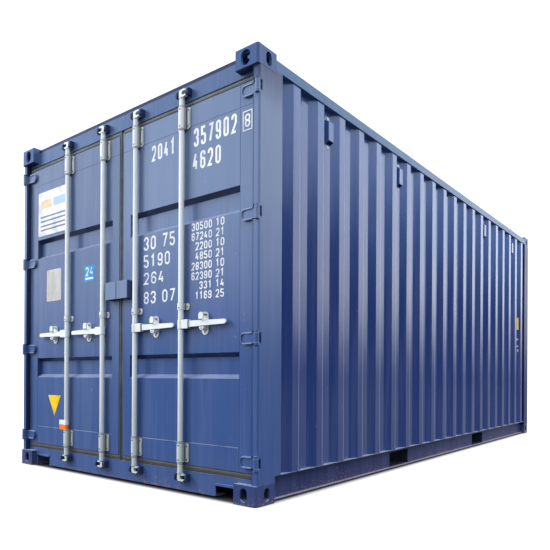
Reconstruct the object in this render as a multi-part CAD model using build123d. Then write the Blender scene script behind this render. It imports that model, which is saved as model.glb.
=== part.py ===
from build123d import *
import os

# Twenty foot dry freight container with two hinged doors at one end.
# Millimetres. X runs across, Y along the length with the doors at -Y, Z is up,
# and the origin is in the middle of the footprint, on the ground.

# Overall size
length = 6058.0
width = 2438.0
height = 2591.0
half_length = length / 2
half_width = width / 2

# Corner fittings
fitting_length = 178.0
fitting_width = 162.0
fitting_height = 118.0
fitting_plate = 28.6
fitting_outer_wall = 17.0
fitting_inner_wall = 12.0
fitting_edge_radius = 14.0
fitting_rim_radius = 5.0
aperture_length = 124.5
aperture_width = 63.5
aperture_from_side = 89.5
aperture_from_end = 102.5
bottom_end_hole = (79.5, 51.0)
top_end_hole = (88.0, 66.0)
side_hole = (79.5, 53.0)
hole_height = 60.0

# Base
ground_clearance = 12.5
floor_top = 163.0
floor_thickness = 28.0
floor_board_count = 5
floor_board_gap = 3.0
floor_side_gap = 3.0
cross_member_height = 122.0
cross_member_flange = 45.0
cross_member_sheet = 4.0
cross_member_pitch = 290.0
cross_member_start = 150.0
bottom_rail_top = 158.0
bottom_rail_sheet = 4.5
bottom_rail_flange = 48.0
bottom_rail_lip = 30.0
pocket_spacing = 2050.0
pocket_width = 360.0
pocket_height = 115.0
pocket_sheet = 4.0
pocket_strap = 200.0
pocket_clearance = 10.0

# Top frame and roof
top_rail_size = 60.0
top_rail_sheet = 3.0
roof_drop = 35.0
roof_sheet = 2.0
roof_margin = 19.0
roof_rib_depth = 20.0
roof_rib_pitch = 209.0
roof_rib_width = 110.0
roof_rib_taper = 40.0
roof_rib_end_gap = 60.0
end_plate_sheet = 4.0

# Side and front walls
side_sheet = 2.0
side_outer_set_back = 7.0
side_depth = 36.0
side_outer_flat = 75.4
side_inner_flat = 70.0
side_slope = 68.0
side_wave_shift = 19.0
front_sheet = 2.0
front_depth = 45.6
front_flat = 110.0
front_slope = 18.0
front_outer_set_back = 15.0

# Vents in the side walls
vent_wave_counts = (2, 6)
vent_width = 62.0
vent_height = 160.0
vent_depth = 28.0
vent_drop = 62.0
vent_taper = 18.0
vent_sheet = 3.0

# Corner posts
post_sheet = 6.0
door_post_set_back = 15.0
door_post_width = 44.0
door_post_length = 224.0
door_post_bend = 12.0
post_channel_set_back = 67.0
post_channel_inset = 49.0
post_channel_flange = 40.0
post_channel_sheet = 12.0
front_post_set_back = 7.0
front_post_lap = 6.0
front_post_return = 47.0

# Door surround
frame_face = 51.0
sill_ledge = 141.0
stop_face = 68.0
surround_depth = 98.0
surround_sheet = 5.0
header_height = 143.0
header_stop_height = 18.0
header_drop = 16.0
cutout_width = 177.0
cutout_top = 78.0
cutout_lip = 14.0
cutout_lip_proud = 8.0

# Door leaves
leaf_set_back = 49.0
leaf_thickness = 50.0
leaf_hinge_gap = 23.0
leaf_lock_edge = 22.0
leaf_bottom_gap = 37.0
leaf_top_gap = 35.0
hinge_stile = 94.0
lock_stile = 75.0
bottom_rail_height = 141.0
top_rail_height = 129.0
tube_wall = 3.0
panel_sheet = 2.0
panel_recess_depth = 36.0
panel_recess_slope = 25.0
panel_recess_height = 155.0
panel_recess_levels = (0.276, 0.7074)

# Door gaskets
gasket_set_back = 1.0
gasket_seat_gap = 0.3
gasket_side_gap = 0.7
gasket_edge_gap = 2.0
meeting_gap = 3.6
gasket_core = 12.0
gasket_lip = 6.0

# Hinges
hinge_count = 4
bottom_hinge_rise = 65.0
top_hinge_drop = 55.0
pin_from_side = 14.5
pin_from_end = 15.0
pin_radius = 8.0
knuckle_radius = 14.0
notch_height = 86.0
notch_depth = 43.0
lug_thickness = 14.0
hinge_running_gap = 0.08
knuckle_seat_gap = 0.3
knuckle_top_gap = 0.7
blade_thickness = 12.0
blade_height = 68.0
blade_reach = 77.0
blade_overhang = 6.0
blade_corner = 30.0
blade_rim = 8.0
blade_rim_height = 6.0
knuckle_gusset = 12.0

# How far a cut runs past the piece it cuts
overcut = 1.0

# Lock rods, cams and brackets
inner_rod_x = 176.0
rod_stand_off = 27.0
rod_radius = 17.0
rod_running_gap = 0.08
cam_height = 55.0
top_cam_rise = 17.0
bottom_cam_drop = 10.0
cam_ring_radius = 20.0
cam_ring_height = 8.0
cam_reach = 41.0
cam_half_depth = 10.0
cam_corner = 15.0
cam_mouth_height = 26.0
cam_mouth_depth = 36.0
collar_radius = 20.0
collar_height = 7.0
collar_gap = 0.3
saddle_wall = 4.5
saddle_plate = 6.0
saddle_half_width = 52.0
top_saddle_height = 136.0
top_saddle_drop = 3.0
bottom_saddle_height = 121.0
bottom_saddle_rise = 14.0
guide_height = 41.0
guide_rise = 91.0
saddle_corner = 14.0
saddle_rib_width = 9.0
saddle_rib_proud = 4.0
saddle_rib_inset = 4.0
saddle_rib_end_gap = 26.0
keeper_base = 4.0
keeper_near_cheek = 30.0
keeper_far_cheek = 48.0
keeper_cheek = 12.0
keeper_reach = 42.0
keeper_height = 46.0
keeper_corner = 14.0

# Handles and their retainers
handle_height = 1055.0
hub_height = 56.0
hub_radius = 21.0
hub_reach = 68.0
hub_half_depth = 15.0
handle_thickness = 10.0
handle_side_gap = 0.4
handle_pin_offset = 45.0
handle_pin_radius = 7.0
handle_head_radius = 22.0
handle_gap = 64.0
handle_end_gap = 95.0
handle_root_height = 40.0
handle_end_height = 28.0
hub_web = 18.0
retainer_width = 54.0
retainer_rise = 69.0
retainer_fall = 71.0
retainer_sheet = 5.0
retainer_clearance = 6.0
catch_width = 36.0
catch_rim = 4.0
catch_bridge = 12.0
catch_front = 20.0
catch_sheet = 8.0
seat_height = 20.0
seat_front = 9.0
seat_hole_radius = 5.0

# Lock box over the meeting line of the doors
lock_box_width = 116.0
lock_box_low = 1265.0
lock_box_high = 1387.0
lock_box_set_back = 1.0
lock_box_sheet = 4.0
lock_box_gap = 3.2

# Places that follow from the sizes above
surround_face_y = -half_length + frame_face
stop_face_y = -half_length + stop_face
surround_rear_y = surround_face_y + surround_depth
side_rail_end = half_length - fitting_length
fitting_inner_x = half_width - fitting_width
post_bottom = fitting_height
post_top = height - fitting_height
roof_surface = height - roof_drop
top_rail_low = roof_surface - top_rail_size
cross_member_top = floor_top - floor_thickness
bottom_rail_web = half_width - bottom_rail_flange
front_outer_face = half_length - front_outer_set_back
front_inner_face = front_outer_face - front_depth
side_outer_face = half_width - side_outer_set_back
side_inner_face = side_outer_face - side_depth
side_pitch = side_outer_flat + side_inner_flat + 2 * side_slope
door_post_front = -half_length + door_post_set_back
door_post_rear = door_post_front + door_post_length
door_post_inner_x = half_width - door_post_width
post_channel_x = half_width - post_channel_inset
post_channel_face = -half_length + post_channel_set_back
header_top = height - header_drop
opening_top = header_top - header_height
header_front_low = opening_top + header_stop_height
leaf_face = -half_length + leaf_set_back
leaf_hinge_edge = door_post_inner_x - leaf_hinge_gap
leaf_bottom = sill_ledge + leaf_bottom_gap
leaf_top = header_front_low - leaf_top_gap
gasket_front = leaf_face + gasket_set_back
pin_x = half_width - pin_from_side
pin_y = -half_length + pin_from_end
bottom_hinge = leaf_bottom + bottom_hinge_rise
hinge_pitch = (leaf_top - top_hinge_drop - bottom_hinge) / (hinge_count - 1)
hinge_heights = [bottom_hinge + index * hinge_pitch for index in range(hinge_count)]
blade_end = leaf_hinge_edge - blade_reach
blade_rim_end = leaf_hinge_edge + blade_overhang
handle_length = (blade_end - handle_end_gap - inner_rod_x - handle_gap) / 2
rod_positions = (inner_rod_x, inner_rod_x + handle_length + handle_gap)
rod_axis_y = leaf_face - rod_stand_off
claw_height = cam_height - cam_ring_height
top_ring_low = header_front_low + top_cam_rise
top_claw_low = top_ring_low + cam_ring_height
bottom_claw_low = sill_ledge - bottom_cam_drop - cam_height
bottom_ring_low = bottom_claw_low + claw_height
top_saddle = (leaf_top - top_saddle_drop - top_saddle_height, leaf_top - top_saddle_drop)
bottom_saddle = (leaf_bottom + bottom_saddle_rise, leaf_bottom + bottom_saddle_rise + bottom_saddle_height)
guide = (handle_height + guide_rise, handle_height + guide_rise + guide_height)
retainer_offset = handle_length / 2
retainer_low = handle_height - retainer_fall
retainer_high = handle_height + retainer_rise
lock_box_face = -half_length + lock_box_set_back


def block(x, y, z):
    """A block between two limits along each axis."""
    size = Box(x[1] - x[0], y[1] - y[0], z[1] - z[0])
    return Pos((x[0] + x[1]) / 2, (y[0] + y[1]) / 2, (z[0] + z[1]) / 2) * size


def upright(face, low, high):
    """A plan outline raised between two heights."""
    return Pos(0, 0, low) * extrude(face, high - low)


def across(face, low, high):
    """An outline drawn in Y and Z, drawn out along X."""
    return Pos(low, 0, 0) * extrude(Plane.YZ * face, high - low)


def lengthwise(face, low, high):
    """An outline drawn in X and Z, drawn out along Y."""
    return Pos(0, high, 0) * extrude(Plane.XZ * face, high - low)


def polygon(points):
    """A flat face inside straight edges."""
    return make_face(Polyline(*points, close=True))


def sheet(path, thickness):
    """The section of a sheet bent along a path, its thickness to the left of the path."""
    corners = [Vector(*point) for point in path]
    steps = [(end - start).normalized() for start, end in zip(corners, corners[1:])]
    far_side = []
    for index, corner in enumerate(corners):
        before = steps[max(index - 1, 0)]
        after = steps[min(index, len(steps) - 1)]
        sideways = Vector(-before.Y - after.Y, before.X + after.X)
        far_side.append(corner + sideways * (thickness / (1 + before.dot(after))))
    return polygon(corners + far_side[::-1])


def other_side(shape):
    """The same shape on the other side of the container."""
    return mirror(shape, Plane.YZ)


def save(name, *shapes):
    """One sub-part, of one or more solids, in a file of its own."""
    solids = [solid for shape in shapes for solid in shape.solids()]
    export_step(Compound(children=solids), f"parts/{name}.step")


def wave_path(first, flat, slope, other_flat, count, high, low):
    """A wave that starts and ends in the middle of a low flat."""
    points = [(first, low)]
    place = first + other_flat / 2
    for _ in range(count):
        points.append((place, low))
        points.append((place + slope, high))
        points.append((place + slope + flat, high))
        points.append((place + 2 * slope + flat, low))
        place += 2 * slope + flat + other_flat
    points.append((place - other_flat / 2, low))
    return points


# Corner fittings
def corner_fitting(end_hole):
    """A bottom fitting for the +X +Y corner, its outer corner at the origin."""
    body = block((-fitting_width, 0), (-fitting_length, 0), (0, fitting_height))
    outer_edge = body.edges().filter_by(Axis.Z).sort_by_distance((0, 0, 0))[0]
    body = fillet(outer_edge, fitting_edge_radius)
    rims = body.edges().filter_by(lambda edge: abs((edge @ 0.5).Z) < 0.01 and
                                  min(abs((edge @ 0.5).X), abs((edge @ 0.5).Y)) < fitting_edge_radius)
    body = fillet(rims, fitting_rim_radius)
    body -= block((fitting_inner_wall - fitting_width, -fitting_outer_wall),
                  (fitting_inner_wall - fitting_length, -fitting_outer_wall),
                  (fitting_plate, fitting_height - fitting_inner_wall))
    aperture_x = -aperture_from_side
    aperture_y = -aperture_from_end
    aperture = SlotOverall(aperture_length, aperture_width, rotation=90)
    body -= Pos(aperture_x, aperture_y, 0) * extrude(aperture, fitting_plate)
    end_slot = SlotOverall(*end_hole, rotation=90)
    body -= Pos(aperture_x, 0, hole_height) * extrude(Plane.XZ * end_slot, fitting_outer_wall)
    side_slot = Plane.YZ * SlotOverall(*side_hole, rotation=90)
    body -= Pos(0, aperture_y, hole_height) * extrude(side_slot, -fitting_outer_wall)
    return body


def fitting_pair(at_doors, at_top):
    """The two fittings of one end, at the bottom or the top."""
    fitting = corner_fitting(top_end_hole if at_top else bottom_end_hole)
    if at_top:
        fitting = Pos(0, 0, height) * mirror(fitting, Plane.XY)
    fitting = Pos(half_width, half_length, 0) * fitting
    if at_doors:
        fitting = mirror(fitting, Plane.XZ)
    return fitting, other_side(fitting)


# Corner posts
def hinge_notch(centre):
    """The space cut out of a door post for one hinge."""
    z = (centre - notch_height / 2, centre + notch_height / 2)
    front = -half_length
    rear = -half_length + notch_depth
    side = block((pin_x - knuckle_radius, half_width + overcut), (front, rear), z)
    inner = block((post_channel_x, pin_x - knuckle_radius), (front, post_channel_face), z)
    return side + inner


def door_post():
    """Right post: a bent outer plate with a heavy channel behind the door."""
    front = door_post_front
    outer_path = [(door_post_inner_x, post_channel_face), (door_post_inner_x, front), (half_width, front),
                  (half_width, door_post_rear), (side_inner_face + side_sheet, door_post_rear)]
    outer = sheet(outer_path, post_sheet)
    corner = outer.vertices().sort_by_distance((half_width, front, 0))[0]
    outer = fillet(corner, door_post_bend)
    channel_rear = -side_rail_end
    channel_path = [(post_channel_x + post_channel_flange, channel_rear), (post_channel_x, channel_rear),
                    (post_channel_x, post_channel_face), (post_channel_x + post_channel_flange, post_channel_face)]
    channel = sheet(channel_path, post_channel_sheet)
    post = upright(outer + channel, post_bottom, top_rail_low)
    behind = (-side_rail_end, door_post_rear)
    post -= block((0, half_width), behind, (post_bottom, bottom_rail_top))
    post -= block((0, half_width), (-half_length, -side_rail_end), (post_top, height))
    for centre in hinge_heights:
        post -= hinge_notch(centre)
    return post


def front_post():
    """Right front post, one bent plate between the side wall and the front wall."""
    start = side_rail_end - front_post_lap
    front = half_length - front_post_set_back
    path = [(side_inner_face + side_sheet, start), (half_width, start), (half_width, front),
            (fitting_inner_x, front), (fitting_inner_x, front - front_post_return)]
    post = upright(sheet(path, post_sheet), post_bottom, post_top)
    post -= block((0, half_width), (0, side_rail_end), (post_bottom, bottom_rail_top))
    return post


# Door surround
def sill():
    """Sill with a ledge under the doors and a cut-out beside each fitting."""
    front = surround_face_y
    path = [(surround_rear_y, ground_clearance), (front, ground_clearance), (front, sill_ledge),
            (stop_face_y, sill_ledge), (stop_face_y, floor_top), (surround_rear_y, floor_top)]
    beam = across(sheet(path, -surround_sheet), -post_channel_x, post_channel_x)
    for side in (-1, 1):
        inner = side * fitting_inner_x
        outer = side * post_channel_x
        beam -= block((min(inner, outer), max(inner, outer)), (-half_length, half_length), (0, fitting_height))
        start = side * (fitting_inner_x - cutout_width)
        hole = (min(inner, start), max(inner, start))
        beam -= block(hole, (-half_length, 0), (0, cutout_top))
        beam += block(hole, (front - cutout_lip_proud, front), (cutout_top, cutout_top + cutout_lip))
    return beam


def header():
    """Closed header beam with a stop for the doors along its lower edge."""
    front = surround_face_y
    rear = surround_rear_y
    path = [(rear, opening_top), (rear, header_top), (front, header_top), (front, header_front_low),
            (stop_face_y, header_front_low), (stop_face_y, opening_top)]
    beam = across(sheet(path, surround_sheet), -post_channel_x, post_channel_x)
    beam += block((-post_channel_x, post_channel_x), (stop_face_y, rear),
                  (opening_top, opening_top + surround_sheet))
    for side in (-1, 1):
        inner = side * fitting_inner_x
        outer = side * post_channel_x
        beam -= block((min(inner, outer), max(inner, outer)), (-half_length, half_length), (post_top, height))
    return beam


# Base
def bottom_side_rail():
    """Right rail: a channel open to the outside, with the fork pocket mouths cut through its web."""
    path = [(bottom_rail_web + bottom_rail_lip, ground_clearance), (bottom_rail_web, ground_clearance),
            (bottom_rail_web, bottom_rail_top), (half_width, bottom_rail_top)]
    rail = lengthwise(sheet(path, -bottom_rail_sheet), -side_rail_end, side_rail_end)
    for centre in (-pocket_spacing / 2, pocket_spacing / 2):
        rail -= block((0, half_width), (centre - pocket_width / 2, centre + pocket_width / 2), pocket_z())
    return rail


def pocket_z():
    """Lower and upper limit of a fork pocket."""
    low = cross_member_top - pocket_sheet - pocket_height
    return low, low + pocket_height


def fork_pocket(centre):
    """One fork tunnel, with a strap under each mouth."""
    low, high = pocket_z()
    half = pocket_width / 2
    path = [(centre - half, low), (centre - half, high), (centre + half, high), (centre + half, low)]
    tunnel = across(sheet(path, pocket_sheet), -bottom_rail_web, bottom_rail_web)
    for side in (-1, 1):
        end = side * bottom_rail_web
        start = side * (bottom_rail_web - pocket_strap)
        tunnel += block((min(start, end), max(start, end)),
                        (centre - half - pocket_sheet, centre + half + pocket_sheet), (low - pocket_sheet, low))
    return tunnel


def cross_members():
    """Channels across the base, left out where the fork pockets run."""
    first = surround_rear_y + cross_member_start
    last = side_rail_end - cross_member_start
    gaps = round((last - first) / cross_member_pitch)
    keep_out = pocket_width / 2 + pocket_sheet + pocket_clearance + cross_member_flange
    members = []
    for index in range(gaps + 1):
        y = first + index * (last - first) / gaps
        if abs(abs(y) - pocket_spacing / 2) < keep_out:
            continue
        low = cross_member_top - cross_member_height
        path = [(y + cross_member_flange, low), (y, low), (y, cross_member_top),
                (y + cross_member_flange, cross_member_top)]
        members.append(across(sheet(path, -cross_member_sheet), -bottom_rail_web, bottom_rail_web))
    return members


def floor_boards():
    """Plywood boards laid across the cross members, with a narrow gap between boards."""
    start = surround_rear_y + floor_board_gap
    end = front_inner_face - floor_board_gap
    board = (end - start - (floor_board_count - 1) * floor_board_gap) / floor_board_count
    side = bottom_rail_web - floor_side_gap
    boards = []
    for index in range(floor_board_count):
        low = start + index * (board + floor_board_gap)
        boards.append(block((-side, side), (low, low + board), (cross_member_top, floor_top)))
    return boards


def front_bottom_rail():
    """Channel under the front wall."""
    path = [(front_inner_face, ground_clearance), (front_outer_face, ground_clearance),
            (front_outer_face, bottom_rail_top), (front_inner_face, bottom_rail_top)]
    return across(sheet(path, bottom_rail_sheet), -fitting_inner_x, fitting_inner_x)


# Top frame and roof
def square_tube(centre_u, centre_v):
    """Section of a top rail."""
    outer = Pos(centre_u, centre_v) * Rectangle(top_rail_size, top_rail_size)
    hollow = top_rail_size - 2 * top_rail_sheet
    return outer - Pos(centre_u, centre_v) * Rectangle(hollow, hollow)


def top_side_rail():
    """Right top rail between the fittings."""
    section = square_tube(half_width - top_rail_size / 2, roof_surface - top_rail_size / 2)
    return lengthwise(section, -side_rail_end, side_rail_end)


def front_top_rail():
    """Top rail over the front wall."""
    section = square_tube(front_outer_face - top_rail_size / 2, roof_surface - top_rail_size / 2)
    return across(section, -fitting_inner_x, fitting_inner_x)


def roof_rib(length_x, width_y, depth):
    """A raised rib with sloping sides, standing on the roof's surface."""
    return extrude(Rectangle(length_x, width_y), depth, taper=roof_rib_taper)


def roof_panel():
    """Roof sheet with ribs pressed up across it."""
    half_x = half_width - roof_margin
    panel = block((-half_x, half_x), (-side_rail_end, side_rail_end), (roof_surface, roof_surface + roof_sheet))
    rib_length = width - 2 * (top_rail_size + roof_rib_end_gap)
    count = int((2 * side_rail_end - roof_rib_width) / roof_rib_pitch)
    ribs = [Pos(0, (index - (count - 1) / 2) * roof_rib_pitch, roof_surface) for index in range(count)]
    thin = 2 * roof_sheet
    rise = [place * Pos(0, 0, roof_sheet) * roof_rib(rib_length, roof_rib_width, roof_rib_depth) for place in ribs]
    hollow = [place * roof_rib(rib_length - thin, roof_rib_width - thin, roof_rib_depth) for place in ribs]
    return panel + rise - hollow


def roof_end_plates():
    """Plates that close the roof between the top fittings at each end."""
    z = (roof_surface, roof_surface + end_plate_sheet)
    x = (-fitting_inner_x, fitting_inner_x)
    door_end = block(x, (surround_rear_y, -side_rail_end), z)
    front_end = block(x, (side_rail_end, front_outer_face), z)
    return door_end, front_end


# Walls
def side_waves():
    """How many waves fit in a side wall, and where its first low flat has its middle."""
    count = int((side_rail_end - door_post_rear) / side_pitch)
    return count, (side_rail_end + door_post_rear - count * side_pitch) / 2 + side_wave_shift


def side_wall():
    """Right side wall, a sheet with upright corrugations."""
    count, start = side_waves()
    wave = wave_path(start, side_outer_flat, side_slope, side_inner_flat, count,
                     side_outer_face, side_inner_face + side_sheet)
    wave[0] = (door_post_rear - post_sheet, wave[0][1])
    wave[-1] = (side_rail_end, wave[-1][1])
    path = [(x, y) for y, x in wave]
    return upright(sheet(path, side_sheet), bottom_rail_top, top_rail_low)


def front_wall():
    """Front wall, a deeper sheet of upright corrugations."""
    pitch = 2 * (front_flat + front_slope)
    count = int(2 * fitting_inner_x / pitch)
    start = -count * pitch / 2
    wave = wave_path(start, front_flat, front_slope, front_flat, count,
                     front_outer_face, front_inner_face + front_sheet)
    wave[0] = (-fitting_inner_x, wave[0][1])
    wave[-1] = (fitting_inner_x, wave[-1][1])
    return upright(sheet(wave, -front_sheet), bottom_rail_top, top_rail_low)


def side_vents():
    """Small hoods on the low flats of the right side wall, open at the bottom."""
    vents = []
    count, start = side_waves()
    vent_waves = [wave for near in vent_wave_counts for wave in (near, count - near)]
    vent_top = top_rail_low - vent_drop
    vent_low = vent_top - vent_height
    base = side_inner_face + side_sheet
    front = base + vent_depth
    outline = [(base, vent_top), (front, vent_top - vent_taper), (front, vent_low + vent_taper), (base, vent_low)]
    inside = [(base, vent_top - 2 * vent_sheet), (front - vent_sheet, vent_top - vent_taper - vent_sheet),
              (front - vent_sheet, vent_low), (base, vent_low)]
    for wave in vent_waves:
        centre = start + wave * side_pitch
        low = centre - vent_width / 2
        hood = lengthwise(polygon(outline), low, low + vent_width)
        hood -= lengthwise(polygon(inside), low + vent_sheet, low + vent_width - vent_sheet)
        vents.append(hood)
    return vents


# Doors
def door_stiles():
    """Upright tubes at both edges of the right leaf."""
    y = (leaf_face, leaf_face + leaf_thickness)
    stiles = []
    for x in ((leaf_hinge_edge - hinge_stile, leaf_hinge_edge), (leaf_lock_edge, leaf_lock_edge + lock_stile)):
        outer = block(x, y, (leaf_bottom, leaf_top))
        inner = block((x[0] + tube_wall, x[1] - tube_wall), (y[0] + tube_wall, y[1] - tube_wall),
                      (leaf_bottom, leaf_top))
        stiles.append(outer - inner)
    return stiles


def door_rails():
    """Tubes along the bottom and the top of the right leaf."""
    y = (leaf_face, leaf_face + leaf_thickness)
    x = (leaf_lock_edge + lock_stile, leaf_hinge_edge - hinge_stile)
    rails = []
    for z in ((leaf_bottom, leaf_bottom + bottom_rail_height), (leaf_top - top_rail_height, leaf_top)):
        outer = block(x, y, z)
        inner = block(x, (y[0] + tube_wall, y[1] - tube_wall), (z[0] + tube_wall, z[1] - tube_wall))
        rails.append(outer - inner)
    return rails


def door_panel():
    """Sheet of the right leaf with its pressed recesses, flush with the tubes."""
    path = [(leaf_face, leaf_bottom + bottom_rail_height)]
    for level in panel_recess_levels:
        low = leaf_bottom + level * (leaf_top - leaf_bottom) - panel_recess_height / 2
        high = low + panel_recess_height
        path.append((leaf_face, low))
        path.append((leaf_face + panel_recess_depth, low + panel_recess_slope))
        path.append((leaf_face + panel_recess_depth, high - panel_recess_slope))
        path.append((leaf_face, high))
    path.append((leaf_face, leaf_top - top_rail_height))
    return across(sheet(path, -panel_sheet), leaf_lock_edge + lock_stile, leaf_hinge_edge - hinge_stile)


def rectangle_between(x, z):
    """A face in X and Z between two limits along each."""
    return Pos((x[0] + x[1]) / 2, (z[0] + z[1]) / 2) * Rectangle(x[1] - x[0], z[1] - z[0])


def door_gasket():
    """Rubber seal round the right leaf: a core on the leaf's edge and a thinner lip outside it."""
    leaf = rectangle_between((leaf_lock_edge, leaf_hinge_edge), (leaf_bottom, leaf_top))
    outer_x = (meeting_gap, door_post_inner_x - gasket_side_gap)
    outer_z = (sill_ledge + gasket_edge_gap, header_front_low - gasket_edge_gap)
    lip = rectangle_between(outer_x, outer_z) - leaf
    core_x = (leaf_lock_edge - gasket_core, leaf_hinge_edge + gasket_core)
    core_z = (leaf_bottom - gasket_core, leaf_top + gasket_core)
    core = rectangle_between(core_x, core_z) - leaf
    rear = stop_face_y - gasket_seat_gap
    return lengthwise(lip, gasket_front, gasket_front + gasket_lip) + lengthwise(core, gasket_front, rear)


# Hinges
def hinge_pins():
    """Lugs and pins of the right post, one set for each hinge."""
    lug_plan = Pos(pin_x, pin_y) * Circle(knuckle_radius)
    rear = -half_length + notch_depth
    lug_plan += Pos(pin_x, (pin_y + rear) / 2) * Rectangle(2 * knuckle_radius, rear - pin_y)
    pins = []
    for centre in hinge_heights:
        low = centre - notch_height / 2
        high = centre + notch_height / 2
        pin = Pos(pin_x, pin_y) * upright(Circle(pin_radius), low, high)
        lower_lug = upright(lug_plan, low, low + lug_thickness)
        upper_lug = upright(lug_plan, high - lug_thickness, high)
        pins.append(lower_lug + upper_lug + pin)
    return pins


def hinge_blades():
    """Blades of the right leaf: a knuckle on the pin, an arm and a round-ended blade with a raised rim."""
    blades = []
    arm_plan = polygon([(pin_x - knuckle_radius, pin_y), (pin_x - knuckle_radius, leaf_face - blade_thickness),
                        (blade_rim_end, leaf_face - blade_thickness), (blade_rim_end, leaf_face),
                        (pin_x, leaf_face), (pin_x + knuckle_gusset, pin_y + knuckle_radius / 2)])
    arm_plan += Pos(pin_x, pin_y) * Circle(knuckle_radius)
    arm_plan -= Pos(pin_x, pin_y) * Circle(pin_radius + hinge_running_gap)
    for centre in hinge_heights:
        low = centre - notch_height / 2 + lug_thickness + knuckle_seat_gap
        high = centre + notch_height / 2 - lug_thickness - knuckle_top_gap
        arm = upright(arm_plan, low, high)
        blade_x = (blade_end, blade_rim_end)
        blade_z = (centre - blade_height / 2, centre + blade_height / 2)
        outline = rectangle_between(blade_x, blade_z)
        outline = fillet(outline.vertices().group_by(Axis.X)[0], blade_corner)
        inset = rectangle_between((blade_x[0] + blade_rim, blade_x[1]),
                                  (blade_z[0] + blade_rim, blade_z[1] - blade_rim))
        inset = fillet(inset.vertices().group_by(Axis.X)[0], blade_corner - blade_rim)
        front = leaf_face - blade_thickness
        blade = lengthwise(outline, front, leaf_face)
        rim = lengthwise(outline - inset, front - blade_rim_height, front)
        blades.append(arm + blade + rim)
    return blades


# Lock rods and handles, drawn round a rod's axis with the handle to the right
def cam(claw_low, ring_low):
    """Forged cam at a rod's end: a ring at its neck and a flat claw with a round mouth."""
    claw = rectangle_between((-rod_radius, cam_reach), (claw_low, claw_low + claw_height))
    claw = fillet(claw.vertices(), cam_corner)
    middle = claw_low + claw_height / 2
    mouth_end = cam_reach - cam_mouth_depth + cam_mouth_height / 2
    claw -= Pos(mouth_end, middle) * Circle(cam_mouth_height / 2)
    claw -= rectangle_between((mouth_end, cam_reach + overcut),
                              (middle - cam_mouth_height / 2, middle + cam_mouth_height / 2))
    ring = upright(Circle(cam_ring_radius), ring_low, ring_low + cam_ring_height)
    return ring + lengthwise(claw, -cam_half_depth, cam_half_depth)


def rod_collars():
    """Rings that keep a rod from sliding in its saddles."""
    lows = (top_saddle[0] - collar_gap - collar_height, top_saddle[1] + collar_gap,
            bottom_saddle[0] - collar_gap - collar_height, bottom_saddle[1] + collar_gap)
    return [upright(Circle(collar_radius), low, low + collar_height) for low in lows]


def handle_hub():
    """Fork on the rod that holds the handle on a rivet."""
    low = handle_height - hub_height / 2
    high = handle_height + hub_height / 2
    body = upright(Circle(hub_radius), low, high)
    body += block((0, hub_reach), (-hub_half_depth, hub_half_depth), (low, high))
    slot = handle_thickness / 2 + handle_side_gap
    body -= block((hub_web, hub_reach + overcut), (-slot, slot), (low, high))
    rivet = Pos(handle_pin_offset, handle_height) * Circle(handle_pin_radius)
    return body + lengthwise(rivet, -hub_half_depth, hub_half_depth)


def lock_rod():
    """Rod with its two cams, collars and handle fork."""
    rod = upright(Circle(rod_radius), bottom_ring_low, top_claw_low)
    rod += [cam(bottom_claw_low, bottom_ring_low), cam(top_claw_low, top_ring_low), handle_hub()]
    return rod + rod_collars()


def handle():
    """Flat tapering handle with a round head on the rivet."""
    start = handle_pin_offset
    end = handle_length - handle_end_height / 2
    root = handle_root_height / 2
    tip = handle_end_height / 2
    outline = polygon([(start, handle_height - root), (end, handle_height - tip),
                       (end, handle_height + tip), (start, handle_height + root)])
    outline += Pos(end, handle_height) * Circle(tip)
    outline += Pos(start, handle_height) * Circle(handle_head_radius)
    outline -= Pos(start, handle_height) * Circle(handle_pin_radius + rod_running_gap)
    return lengthwise(outline, -handle_thickness / 2, handle_thickness / 2)


def saddle(low, high, ribbed=True):
    """Bearing bracket round a rod, with a flange on each side against the leaf and a rib along each flange."""
    back = leaf_face - rod_axis_y
    bore = rod_radius + rod_running_gap
    outer = bore + saddle_wall
    plan = Pos(0, back - saddle_plate / 2) * Rectangle(2 * saddle_half_width, saddle_plate)
    plan += Circle(outer) + Pos(0, back / 2) * Rectangle(2 * outer, back)
    plan -= Circle(bore) + Pos(0, (back - saddle_plate) / 2) * Rectangle(2 * bore, back - saddle_plate)
    body = upright(plan, low, high)
    corners = body.edges().filter_by(Axis.Y)
    corners = corners.filter_by(lambda edge: abs(abs((edge @ 0.5).X) - saddle_half_width) < 0.01)
    body = fillet(corners, saddle_corner)
    if ribbed:
        rib_x = saddle_half_width - saddle_rib_inset - saddle_rib_width / 2
        rib_length = high - low - 2 * saddle_rib_end_gap
        rib = Pos(0, (low + high) / 2) * SlotOverall(rib_length, saddle_rib_width, rotation=90)
        front = back - saddle_plate - saddle_rib_proud
        body += [Pos(side * rib_x, 0, 0) * lengthwise(rib, front, back - saddle_plate) for side in (-1, 1)]
    return body


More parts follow.
